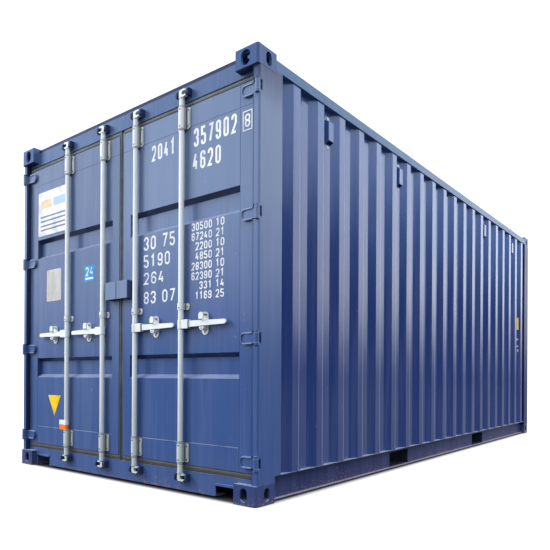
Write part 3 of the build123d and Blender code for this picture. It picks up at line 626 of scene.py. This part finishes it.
add_piece("frame_welds", frame_welds, weld_paint, "container_frame")


# Door leaves
# Each leaf is a frame of square tubes round one flush sheet, which is pressed into two level grooves.
# Hinge blades and the lock box are welded on, and everything is painted together; the keepers are darker.
(panel_lock_edge, _, panel_low), (panel_edge, _, panel_high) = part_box("right_door_panel")
panel_foot = ((panel_edge + panel_lock_edge) / 2, (panel_edge - panel_lock_edge) / 2, panel_low)
# On the leaves: painted shade on down-facing faces and along the seams at the panel's top and side, a painted
# highlight along its foot.
leaf_tones = {"right": (faded_and_sheen_blue, (0.8, 2.0)), "left": (colour(96, 114, 148), (-0.2, 2.8))}
for side, (leaf_tone, leaf_fade_and_sheen) in leaf_tones.items():
    leaf_paint = paint(f"{side}_leaf_paint", faded_and_sheen_tone=leaf_tone, fade_and_sheen_heights=leaf_fade_and_sheen, rough=0.10, dusty=0.22,
                       seams_x=(panel_edge,), seams_z=(panel_high,), weld_highlight_place=panel_foot,
                       shade_where=down_facing_shade, shade_share=0.8, ledge_dust=0.5)
    finish_nodes(leaf_paint, *[f"{side}_{name}" for name in ("door_stiles", "door_rails", "door_panel")])
hinge_count = 4
blade_half = 0.034
blade_rim = 0.030
blade_low, blade_high = (corner[2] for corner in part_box("right_hinge_blades"))
hinge_pitch = (blade_high - blade_low - 2 * blade_half) / (hinge_count - 1)
hinge_middles = [blade_low + blade_half + step * hinge_pitch for step in range(hinge_count)]
blade_rim_highlights = [middle + edge * blade_rim for middle in hinge_middles for edge in (-1.0, 1.0)]
# Painted highlights along the blade rims, and painted shade on their down-facing faces.
blade_paint = paint("blade_paint", highlight_rims_z=blade_rim_highlights, shade_where=down_facing_shade)
finish_nodes(blade_paint, *both("hinge_blades"))
# Painted shade on the side faces of the lock box.
box_paint = paint("box_paint", faded_and_sheen_tone=colour(112, 132, 166), fade_and_sheen_heights=(0.3, 1.2), shade_where=side_facing_shade)
finish_nodes(box_paint, *both("lock_box_half"))
keeper_paint = paint("keeper_paint", colour(26, 40, 84), colour(30, 46, 92))
finish_nodes(keeper_paint, *both("cam_keepers"))


# Door seals
# A soft hollow rubber section runs round each leaf and presses on the frame, bulged between two grooves.
# It is riveted on behind a flat strip; dust has bleached its outer edge.
seal_front = -2.979
seal_rear = -2.9613
seal_back = -2.9670
# Places across half of the section, as a share of its width, with their depths in millimetres.
half_ribs = ((0.0, 8.0), (0.06, 5.0), (0.14, 3.0), (0.20, 4.6), (0.26, 1.8), (0.38, 0.6))
seal_ribs = [*half_ribs, (0.5, 0.0), *[(1.0 - share, depth) for share, depth in half_ribs[::-1]]]
core_share = 0.45
corner_steps = 6


def round_outline(x_low, x_high, z_low, z_high, low_radius, high_radius, steps):
    """An outline in x and z with round corners of one radius at low x and another at high x."""
    points = []
    for x, z, radius, start in ((x_high - high_radius, z_high - high_radius, high_radius, 0.0),
                                (x_low + low_radius, z_high - low_radius, low_radius, 90.0),
                                (x_low + low_radius, z_low + low_radius, low_radius, 180.0),
                                (x_high - high_radius, z_low + high_radius, high_radius, 270.0)):
        for step in range(steps + 1):
            angle = math.radians(start + step * 90.0 / steps)
            points.append(Vector((x + radius * math.cos(angle), z + radius * math.sin(angle))))
    return points


def bridge(form, first, second):
    """Faces between two rings of as many points."""
    for index in range(len(first)):
        after = (index + 1) % len(first)
        form.faces.new((first[index], first[after], second[after], second[index]))


def finished(form, name):
    """The mesh of a form, its faces turned outwards."""
    bmesh.ops.recalc_face_normals(form, faces=form.faces)
    mesh = bpy.data.meshes.new(name)
    form.to_mesh(mesh)
    form.free()
    return mesh


def seal_mesh(name, leaf, outer, low_x_corner, high_x_corner):
    """The bulged section drawn round a leaf; both limits are (x low, x high, z low, z high)."""
    section = [(share, seal_front + depth / 1000.0) for share, depth in seal_ribs]
    section += [(1.0, seal_back), (core_share, seal_back), (core_share, seal_rear), (0.0, seal_rear)]
    form = bmesh.new()
    share_layer = form.verts.layers.float.new("rib")
    rings = []
    for share, y in section:
        limits = [near + share * (far - near) for near, far in zip(leaf, outer)]
        radii = [corner * (0.5 + 0.5 * share) for corner in (low_x_corner, high_x_corner)]
        outline = round_outline(*limits, *radii, corner_steps)
        rings.append([form.verts.new((spot.x, y, spot.y)) for spot in outline])
        for vert in rings[-1]:
            vert[share_layer] = share
    for ring, following in zip(rings, rings[1:] + rings[:1]):
        bridge(form, ring, following)
    return finished(form, name)


def rubber(name):
    """Weathered rubber, dusty on its outer edge, with painted shade in its grooves."""
    material, wire, place = new_material(name)
    rib = wire.node("ShaderNodeAttribute", settings={"attribute_name": "rib"}, output=2)
    patches = noise(wire, place, 6.0, detail=6.0)
    specks = noise(wire, place, 120.0, detail=2.0)
    _, _, high = axes_of(wire, place)
    clean = (patches + specks * 0.3).rise(0.45, 0.85).mix(colour(90, 96, 104), colour(114, 120, 126))
    body = ((high + patches * 0.4).rise(1.5, 0.3) * 0.85).mix(clean, colour(70, 66, 62))
    # Painted shade in the two grooves.
    groove = abs(abs(rib - 0.5) - 0.3).rise(0.05, 0.02)
    groove_shaded = (groove * 0.6).mix(body, colour(38, 38, 42))
    _, _, normal_z = axes_of(wire, wire.node("ShaderNodeNewGeometry", output=1))
    dusty = (normal_z.rise(0.3, 0.8) + rib.rise(0.92, 1.0) * 0.25) * (0.1 + patches * 0.5)
    final = dusty.mix(groove_shaded, colour(158, 156, 148))
    finish_surface(wire, final, 0.62 + patches * 0.25, relief(wire, specks, 0.3, 0.0006))
    return material


seal_rubber = rubber("seal_rubber")
finish_nodes(seal_rubber, *both("door_gasket"))
for side, corners in (("right", (0.032, 0.014)), ("left", (0.014, 0.008))):
    low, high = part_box(f"{side}_door_gasket")
    leaf_low, leaf_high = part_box(f"{side}_door_stiles")
    leaf_limits = (leaf_low[0], leaf_high[0], leaf_low[2], leaf_high[2])
    outer_limits = (low[0], high[0], low[2], high[2])
    mesh = seal_mesh(f"{side}_seal", leaf_limits, outer_limits, *corners)
    seal = add_piece(f"{side}_seal", mesh, seal_rubber, f"{side}_door")
    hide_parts(f"{side}_door_gasket")


# Lock rods, brackets, handles and retainers
# Hot-dip galvanised steel: tubes with forged cams at both ends, turned by hinged handles.
# They are bolted to the leaves; the zinc has weathered to a pale dull grey, darker near the ground.
# The joint colour also gives painted shade in creases, within the crease reach.
joint_and_shade_colour = colour(48, 54, 60)
joint_half = 0.0018
joint_share = 0.6
crease_shade_reach = 0.022
crease_shade_share = 0.85


def galvanised(name, light, dark, shine, low_tone=None, joints_x=(), joints_z=()):
    """Zinc with a faint crystal pattern and darker runs; a low tone takes over towards the ground, with dark
    joints and painted shade in creases.
    """
    material, wire, place = new_material(name)
    crystals = wire.node("ShaderNodeTexVoronoi", {"Vector": place, "Scale": 110.0}, output=1)
    tone = wire.node("ShaderNodeRGBToBW", {0: crystals})
    stain = noise(wire, place, 11.0, (1.0, 1.0, 0.22), 5.0)
    pits = noise(wire, place, 240.0, detail=2.0)
    body = (tone * 0.12 + stain * 0.9).rise(0.25, 0.80).mix(dark, light)
    if low_tone:
        across, _, high = axes_of(wire, place)
        body = ((high + stain * 0.3).rise(1.35, 0.35) * 0.8).mix(body, low_tone)
        body = (seam_mask(across, high, joints_x, joints_z, joint_half) * joint_share).mix(body, joint_and_shade_colour)
        # Painted shade in creases: the less open a point, the darker.
        open_share = wire.node("ShaderNodeAmbientOcclusion", {"Distance": crease_shade_reach}, {"samples": 8},
                               output=1)
        body = (open_share.rise(0.88, 0.40) * crease_shade_share).mix(body, joint_and_shade_colour)
    bevel = wire.node("ShaderNodeBevel", {"Radius": 0.0015}, {"samples": 4})
    pitted = relief(wire, pits * 0.5 + stain, 0.25, 0.0008, Normal=bevel)
    finish_surface(wire, body, 0.34 + stain * 0.2, pitted, Metallic=shine)
    return material


collar_height = 0.0085
rod_places = (0.176, 0.610)
tall_bracket_ends = ((0.192, 0.313), (2.276, 2.412))
ring_joints = [end for low, high in tall_bracket_ends
               for end in (low, low - collar_height, high, high + collar_height)]
pale_zinc = colour(248, 252, 252)
dull_zinc = colour(228, 235, 237)
low_zinc = colour(198, 208, 210)
tube_edge = 0.0240
flange_joints = [rod + edge * tube_edge for rod in rod_places for edge in (-1.0, 1.0)]
gear_zinc = galvanised("gear_zinc", pale_zinc, dull_zinc, 0.1, low_zinc, joints_z=ring_joints)
bracket_zinc = galvanised("bracket_zinc", pale_zinc, dull_zinc, 0.1, low_zinc, flange_joints, ring_joints)
finish_nodes(gear_zinc, *both("inner_lock_rod", "outer_lock_rod", "inner_handle", "outer_handle",
                              "handle_retainers"))
finish_nodes(bracket_zinc, *both("rod_brackets"))


# Bolts of the doors and vents
# Bolts with a sunk socket go through each flange and the leaf, and cannot be undone from outside.
# The brackets have small drain holes in their tubes, and a bolt above and below holds each vent hood.
bolt_radius = 0.0080
bolt_height = 0.0042
washer_radius = 0.0105
washer_height = 0.0016
socket_radius = 0.0052
socket_height = 0.0012
socket_proud = 0.0006
socket_rim = 0.0030
flange_face = -2.986
retainer_face = -2.985
tube_axis_y = -3.007
tube_radius = 0.0200
hole_turn = math.radians(-3.0)
hole_radius = 0.0064
hole_rim = 0.0054
flange_middle = 0.0385
bracket_heights = (0.210, 0.295, 1.1665, 2.294, 2.394)
hole_heights = (0.207, 0.298, 1.158, 2.291, 2.397)
vent_waves = (2, 6, 14, 18)
hood_bolt_gap = 0.014
hood_bolt_radius = 0.0085
hood_washer_radius = 0.0120
retainer_middle = 0.185
retainer_bolt_height = 1.000


def bolt_growth(name, material):
    """A washer and a low domed head on every point, facing the front or turned from it."""
    tree, wire, given = new_growth(name, "radius", "height", "washer", "turn")
    radius = given.output("radius")
    head = wire.node("GeometryNodeMeshUVSphere", {"Segments": 12, "Rings": 6, "Radius": radius})
    flatness = given.output("height") / radius
    flat = wire.node("ShaderNodeCombineXYZ", {"X": 1.0, "Y": flatness, "Z": 1.0})
    to_front = (math.radians(90.0), 0.0, 0.0)
    turned = wire.node("GeometryNodeTransform", {"Geometry": head, "Rotation": to_front})
    dome = wire.node("GeometryNodeTransform", {"Geometry": turned, "Scale": flat})
    ring = wire.node("GeometryNodeMeshCylinder", {"Vertices": 16, "Radius": given.output("washer"),
                                                  "Depth": 2 * washer_height})
    seated = wire.node("GeometryNodeTransform", {"Geometry": ring, "Rotation": to_front})
    joined = wire.node("GeometryNodeJoinGeometry", {"Geometry": dome})
    tree.links.new(seated.socket, joined.socket.node.inputs["Geometry"])
    points = wire.node("GeometryNodeMeshToPoints", {"Mesh": given.output("Geometry")})
    facing = wire.node("ShaderNodeCombineXYZ", {"Z": given.output("turn")})
    heads = wire.node("GeometryNodeInstanceOnPoints", {"Points": points, "Instance": joined,
                                                       "Rotation": facing})
    finish_growth(wire, heads, material)
    return tree


def add_grown(name, places, tree, material, body, **sizes):
    """Grows a tree on loose points and adds what comes out as a piece."""
    start = bpy.data.meshes.new(f"{name}_places")
    start.from_pydata(places, [], [])
    add_piece(name, grow(start, tree, **sizes), material, body)


# Sunk sockets and drain holes are drawn as dark discs, painted shade where the holes are.
socket_shade = galvanised("socket_shade", colour(52, 56, 62), colour(30, 34, 40), 0.0)
heads_growth = bolt_growth("bolt_head", gear_zinc)
socket_growth = bolt_growth("bolt_socket", socket_shade)
hole_x = -tube_radius * math.sin(hole_turn)
hole_y = tube_axis_y - tube_radius * math.cos(hole_turn)
for side, sign in (("right", 1.0), ("left", -1.0)):
    places = [(sign * rod + across * flange_middle, flange_face, height)
              for rod in rod_places for across in (-1.0, 1.0) for height in bracket_heights]
    places += [(sign * (rod + retainer_middle), retainer_face, retainer_bolt_height) for rod in rod_places]
    socket_places = [(x, y - bolt_height + socket_proud, z) for x, y, z in places]
    hole_places = [(sign * rod + hole_x, hole_y, height) for rod in rod_places for height in hole_heights]
    hood_low, hood_high = (corner[2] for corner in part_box(f"{side}_side_vents"))
    hood_places = [(sign * wall_inner, wall_start + wave * wave_pitch, height)
                   for wave in vent_waves for height in (hood_low - hood_bolt_gap, hood_high + hood_bolt_gap)]
    add_grown(f"{side}_door_bolts", places, heads_growth, gear_zinc, f"{side}_door", radius=bolt_radius,
              height=bolt_height, washer=washer_radius)
    add_grown(f"{side}_door_sockets", socket_places, socket_growth, socket_shade, f"{side}_door",
              radius=socket_radius, height=socket_height, washer=socket_rim)
    add_grown(f"{side}_bracket_holes", hole_places, socket_growth, socket_shade, f"{side}_door",
              radius=hole_radius, height=socket_height, washer=hole_rim, turn=-hole_turn)
    add_grown(f"{side}_vent_bolts", hood_places, heads_growth, gear_zinc, "container_frame",
              radius=hood_bolt_radius, height=bolt_height, washer=hood_washer_radius, turn=sign * math.pi / 2)


# Figures painted on the doors and the right side wall
# White stencilled figures with round bowls, sprayed through cut masks, a little dusty.
def marking(name, red, green, blue):
    """Thin flat marking paint or film with slight wear."""
    material, wire, place = new_material(name)
    film = noise(wire, place, 14.0, detail=5.0)
    specks = noise(wire, place, 90.0, detail=2.0)
    worn = colour(0.86 * red, 0.88 * green, 0.92 * blue)
    body = (film + specks * 0.25).rise(0.55, 0.85).mix(colour(red, green, blue), worn)
    finish_surface(wire, body, 0.45 + film * 0.25, relief(wire, specks, 0.1, 0.0004))
    return material


figure_white = marking("figure_white", 244, 247, 250)

# The strokes run between these places in a figure's box.
# A capital letter is turned by an arc, a small one sharply, and a star closes the stroke.
stroke_places = {"q": (0.0, 1.0), "w": (0.55, 1.0), "e": (1.0, 1.0), "f": (0.0, 0.76), "r": (1.0, 0.76),
                 "a": (0.0, 0.5), "s": (0.45, 0.5), "d": (1.0, 0.5), "t": (0.1, 0.80), "h": (1.0, 0.56),
                 "b": (0.0, 0.58), "g": (1.0, 0.58), "k": (1.0, 0.42), "l": (0.0, 0.42), "v": (0.0, 0.24),
                 "z": (0.0, 0.0), "x": (0.55, 0.0), "c": (1.0, 0.0), "m": (0.3, 0.0), "n": (0.0, 0.28),
                 "y": (1.0, 0.28), "j": (0.74, 0.0), "u": (0.74, 0.54)}
figure_strokes = {"0": ["QECZ*"], "1": ["twx"], "2": ["fQEHzc"], "3": ["fQEDs", "sDCZv"], "4": ["wny", "uj"],
                  "5": ["eqbGCZv"], "6": ["BGCZ*", "bQEr"], "7": ["qem"], "8": ["QEDA*", "ADCZ*"],
                  "9": ["QEKL*", "kCZv"]}
leaf_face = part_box("right_door_stiles")[0][1]
film_height = 0.0008
layer_step = 0.00015
film_sunk = 0.0002
arc_steps = 5
shared_reach = 0.5
free_reach = 0.9
point_gap = 0.0001
space_share = 0.6


def turned_path(spots, arcs, radius, closed):
    """The path with an arc in place of each corner that asks for one."""
    result = []
    count = len(spots)
    for index, spot in enumerate(spots):
        before = spots[index - 1]
        after = spots[(index + 1) % count]
        if not arcs[index] or (not closed and index in (0, count - 1)):
            result.append(spot)
            continue
        reach_in = (before - spot).length * (shared_reach if arcs[index - 1] else free_reach)
        reach_out = (after - spot).length * (shared_reach if arcs[(index + 1) % count] else free_reach)
        turn = (spot - before).angle(after - spot) / 2.0
        reach = min(radius * math.tan(turn), reach_in, reach_out)
        start = spot + (before - spot).normalized() * reach
        end = spot + (after - spot).normalized() * reach
        weight = math.cos(turn)
        for step in range(arc_steps + 1):
            share = step / arc_steps
            parts = ((1.0 - share) ** 2, 2.0 * share * (1.0 - share) * weight, share ** 2)
            point = (start * parts[0] + spot * parts[1] + end * parts[2]) / sum(parts)
            if not result or (point - result[-1]).length > point_gap:
                result.append(point)
    if closed and (result[0] - result[-1]).length < point_gap:
        result.pop()
    return result


def add_ribbon(form, path, width, closed, front, back, place):
    """A flat band along an open or closed path; place gives its points in space."""
    count = len(path)
    edges = []
    for index, point in enumerate(path):
        before = path[index - 1] if closed or index else None
        after = path[(index + 1) % count] if closed or index < count - 1 else None
        arriving = (point - before).normalized() if before else None
        leaving = (after - point).normalized() if after else arriving
        arriving = arriving or leaving
        side = Vector((-arriving.y - leaving.y, arriving.x + leaving.x))
        side = side * (width / (1.0 + arriving.dot(leaving)) / 2.0)
        rim = ((point + side, front), (point - side, front), (point - side, back), (point + side, back))
        edges.append([form.verts.new(place(at, depth)) for at, depth in rim])
    for first, second in zip(edges, edges[1:] + edges[:1] if closed else edges[1:]):
        bridge(form, first, second)
    if not closed:
        form.faces.new(edges[0][::-1])
        form.faces.new(edges[-1])


def add_figure(form, figure, left, low, wide, high, stroke, place):
    """One figure inside a box, drawn with strokes of one width."""
    for layer, code in enumerate(figure_strokes[figure]):
        closed = code.endswith("*")
        keys = code.strip("*")
        spots = [Vector((left + stroke / 2 + stroke_places[key.lower()][0] * (wide - stroke),
                         low + stroke / 2 + stroke_places[key.lower()][1] * (high - stroke))) for key in keys]
        path = turned_path(spots, [key.isupper() for key in keys], (wide - stroke) / 2.0, closed)
        add_ribbon(form, path, stroke, closed, -film_height - layer * layer_step, film_sunk, place)


def add_row(form, figures, left, right, low, high, place, stroke_share=0.135, gap_share=0.30):
    """A row of figures spread between two limits."""
    units = sum(space_share if figure == " " else 1.0 for figure in figures) - gap_share
    step = (right - left) / units
    at = left
    for figure in figures:
        if figure == " ":
            at += space_share * step
            continue
        add_figure(form, figure, at, low, step * (1.0 - gap_share), high - low, (high - low) * stroke_share,
                   place)
        at += step


def figure_piece(name, body, form):
    """A form of drawn figures as one object."""
    add_piece(name, finished(form, name), figure_white, body)


def on_door(at, depth):
    """A point of a drawing on the doors' face, as x and z with a depth in y."""
    return at.x, leaf_face + depth, at.y


# Figures with their left, right, low and high limits, and then the rows of weights with their units.
door_rows = (("2041", 0.308, 0.523, 2.153, 2.257), ("357902", 0.689, 1.031, 2.150, 2.265),
             ("8", 1.090, 1.129, 2.160, 2.236), ("4620", 0.682, 0.910, 2.005, 2.115),
             ("30 75", 0.233, 0.528, 1.571, 1.662), ("5190", 0.234, 0.483, 1.455, 1.541),
             ("264", 0.235, 0.428, 1.343, 1.423), ("83 07", 0.236, 0.530, 1.213, 1.295))
weight_rows = (("30500", "10"), ("67240", "21"), ("2200", "10"), ("4850", "21"), ("28300", "10"),
               ("62390", "21"), ("331", "14"), ("1169", "25"))
weight_top = 1.680
weight_low = 1.204
weight_gap = 0.012
weight_right = 0.842
weight_figure_step = 0.0335
weight_unit = (0.874, 0.940)
weight_strokes = (0.15, 0.24)
check_places = ((1.078, 2.144), (1.141, 2.144), (1.141, 2.252), (1.078, 2.252))
check_stroke = 0.006
form = bmesh.new()
for figures, left, right, low, high in door_rows:
    add_row(form, figures, left, right, low, high, on_door)
weight_step = (weight_top - weight_low + weight_gap) / len(weight_rows)
for index, (figures, unit) in enumerate(weight_rows):
    high = weight_top - index * weight_step
    low = high - weight_step + weight_gap
    weight_left = weight_right - weight_figure_step * len(figures)
    add_row(form, figures, weight_left, weight_right, low, high, on_door, *weight_strokes)
    add_row(form, unit, *weight_unit, low, high, on_door, *weight_strokes)
check_box = [Vector(spot) for spot in check_places]
add_ribbon(form, check_box, check_stroke, True, -film_height, film_sunk, on_door)
figure_piece("door_figures", "right_door", form)


# Plain signs and stickers on the left door
# A white sheet beside the outer rod, a small blue film, a yellow triangle and a pressed plate.
# They carry no words and no marks other than bars, lines and plain figures.
def rounded(x_low, x_high, z_low, z_high, radius):
    """An outline in x and z with four like round corners."""
    return round_outline(x_low, x_high, z_low, z_high, radius, radius, 4)


def add_slab(form, outline, front, back, place):
    """A flat piece with a closed outline."""
    faces = []
    for depth in (front, back):
        faces.append([form.verts.new(place(at, depth)) for at in outline])
        form.faces.new(faces[-1])
    bridge(form, *faces)


def slab_piece(name, front, material, body, place, *outlines):
    """One or more flat pieces as one object."""
    form = bmesh.new()
    for outline in outlines:
        add_slab(form, outline, -front, film_sunk, place)
    add_piece(name, finished(form, name), material, body)


def left_door_piece(name, front, material, *outlines):
    """One or more flat pieces on the face of the left door."""
    slab_piece(name, front, material, "left_door", on_door, *outlines)


def on_film(at, depth):
    """A place on the film of the left door, which lies on the leaf."""
    return on_door(at, depth - film_height)


sign_white = marking("sign_white", 238, 240, 244)
sign_pale_blue = marking("sign_pale_blue", 176, 204, 228)
sign_sand = marking("sign_sand", 236, 214, 178)
sign_grey = marking("sign_grey", 128, 134, 150)
film_blue = marking("film_blue", 58, 152, 206)
film_yellow = marking("film_yellow", 255, 208, 0)
plate_metal = galvanised("plate_metal", colour(214, 214, 208), colour(172, 172, 168), 0.4)
sheet_front = 0.0022
print_front = 0.0026
bar_front = 0.0011
plate_front = 0.0015
raised_front = 0.0021
rule_lows = (1.905, 1.937, 1.975, 2.010)
rule_height = 0.013
triangle = [Vector((-0.898, 0.575)), Vector((-0.812, 0.416)), Vector((-0.729, 0.575))]
plate_line_left = -0.905
plate_line_width = 0.155
plate_line_height = 0.006
plate_line_pitch = 0.017
# The lowest line of each block, and the share of the full width that each of its lines takes.
plate_blocks = ((1.345, (1.0, 0.7, 0.9, 0.5)), (1.430, (1.0, 0.8, 0.6)), (1.500, (0.9, 1.0, 0.7, 0.45)))
plate_lines = []
for block_low, shares in plate_blocks:
    for index, share in enumerate(shares):
        low = block_low + index * plate_line_pitch
        plate_lines.append(rounded(plate_line_left, plate_line_left + plate_line_width * share, low,
                                   low + plate_line_height, 0.002))
left_door_piece("sign_sheet", sheet_front, sign_white, rounded(-1.051, -0.618, 1.865, 2.219, 0.012))
left_door_piece("sign_grey_rules", print_front, sign_grey,
                *[rounded(-1.020, -0.650, low, low + rule_height, 0.003) for low in rule_lows])
left_door_piece("sign_blue_bar", print_front, sign_pale_blue, rounded(-0.840, -0.655, 2.085, 2.150, 0.010))
left_door_piece("sign_sand_bar", print_front, sign_sand, rounded(-1.010, -0.860, 2.085, 2.150, 0.010))
left_door_piece("blue_film", film_height, film_blue, rounded(-0.429, -0.304, 1.428, 1.550, 0.006))
form = bmesh.new()
add_row(form, "24", -0.411, -0.322, 1.474, 1.538, on_film)
figure_piece("blue_film_figures", "left_door", form)
left_door_piece("blue_film_bar", bar_front, sign_white, rounded(-0.415, -0.318, 1.447, 1.462, 0.002))
left_door_piece("yellow_triangle", film_height, film_yellow, triangle)
left_door_piece("pressed_plate", plate_front, plate_metal, rounded(-0.927, -0.727, 1.325, 1.577, 0.014))
left_door_piece("plate_raised_lines", raised_front, plate_metal, *plate_lines)


# Tape on the outer left rod
# A strip of orange and white tape wound round the rod, its ends pressed together to one side.
tape_radius = 0.0178
tape_flag = 0.058
tape_thickness = 0.0012
tape_start = 185.0
tape_turn = 15.0
tape_spots = 23
flag_share = 0.75
tape_seam = 0.355


def tape_mesh(name, low, high):
    """A band round the outer left rod with a short flag to the left."""
    axis = Vector((-rod_places[1], tube_axis_y))
    angles = [math.radians(tape_start - step * tape_turn) for step in range(tape_spots)]
    outline = [axis + tape_radius * Vector((math.cos(angle), math.sin(angle))) for angle in angles]
    flag_tip = axis - Vector((tape_radius + tape_flag, tape_radius * flag_share))
    outline += [flag_tip + Vector((0.0, tape_thickness)), flag_tip]
    form = bmesh.new()
    add_slab(form, outline, low, high, lambda at, height: (at.x, at.y, height))
    return finished(form, name)


tape_orange = marking("tape_orange", 250, 130, 30)
tape_white = marking("tape_white", 240, 240, 238)
for name, low, high, tape in (("rod_tape_white", tape_seam, 0.391, tape_white),
                              ("rod_tape_orange", 0.317, tape_seam, tape_orange)):
    add_piece(name, tape_mesh(name, low, high), tape, "left_outer_rod")


# Film and figures on the right side wall
# A yellow film and upright white figures on the slope of the last full wave before the front post.
slope_start = Vector((wall_inner, 2.617))
slope_end = Vector((wall_outer, 2.685))
figure_line = 0.046
slope_run = (slope_end - slope_start).normalized()
slope_out = Vector((slope_run.y, -slope_run.x))


def on_slope(at, depth):
    """A point of a drawing on the slope, as a length along it and a height."""
    spot = slope_start + slope_run * at.x - slope_out * depth
    return spot.x, spot.y, at.y


def upright_on_slope(at, depth):
    """The same drawing turned to read upwards."""
    return on_slope(Vector((figure_line - at.y, at.x)), depth)


slab_piece("slope_film", film_height, film_yellow, "container_frame", on_slope,
           rounded(0.006, 0.036, 1.357, 1.510, 0.003))
form = bmesh.new()
add_row(form, "41 7", 1.069, 1.248, 0.006, 0.040, upright_on_slope, 0.16)
figure_piece("slope_figures", "container_frame", form)
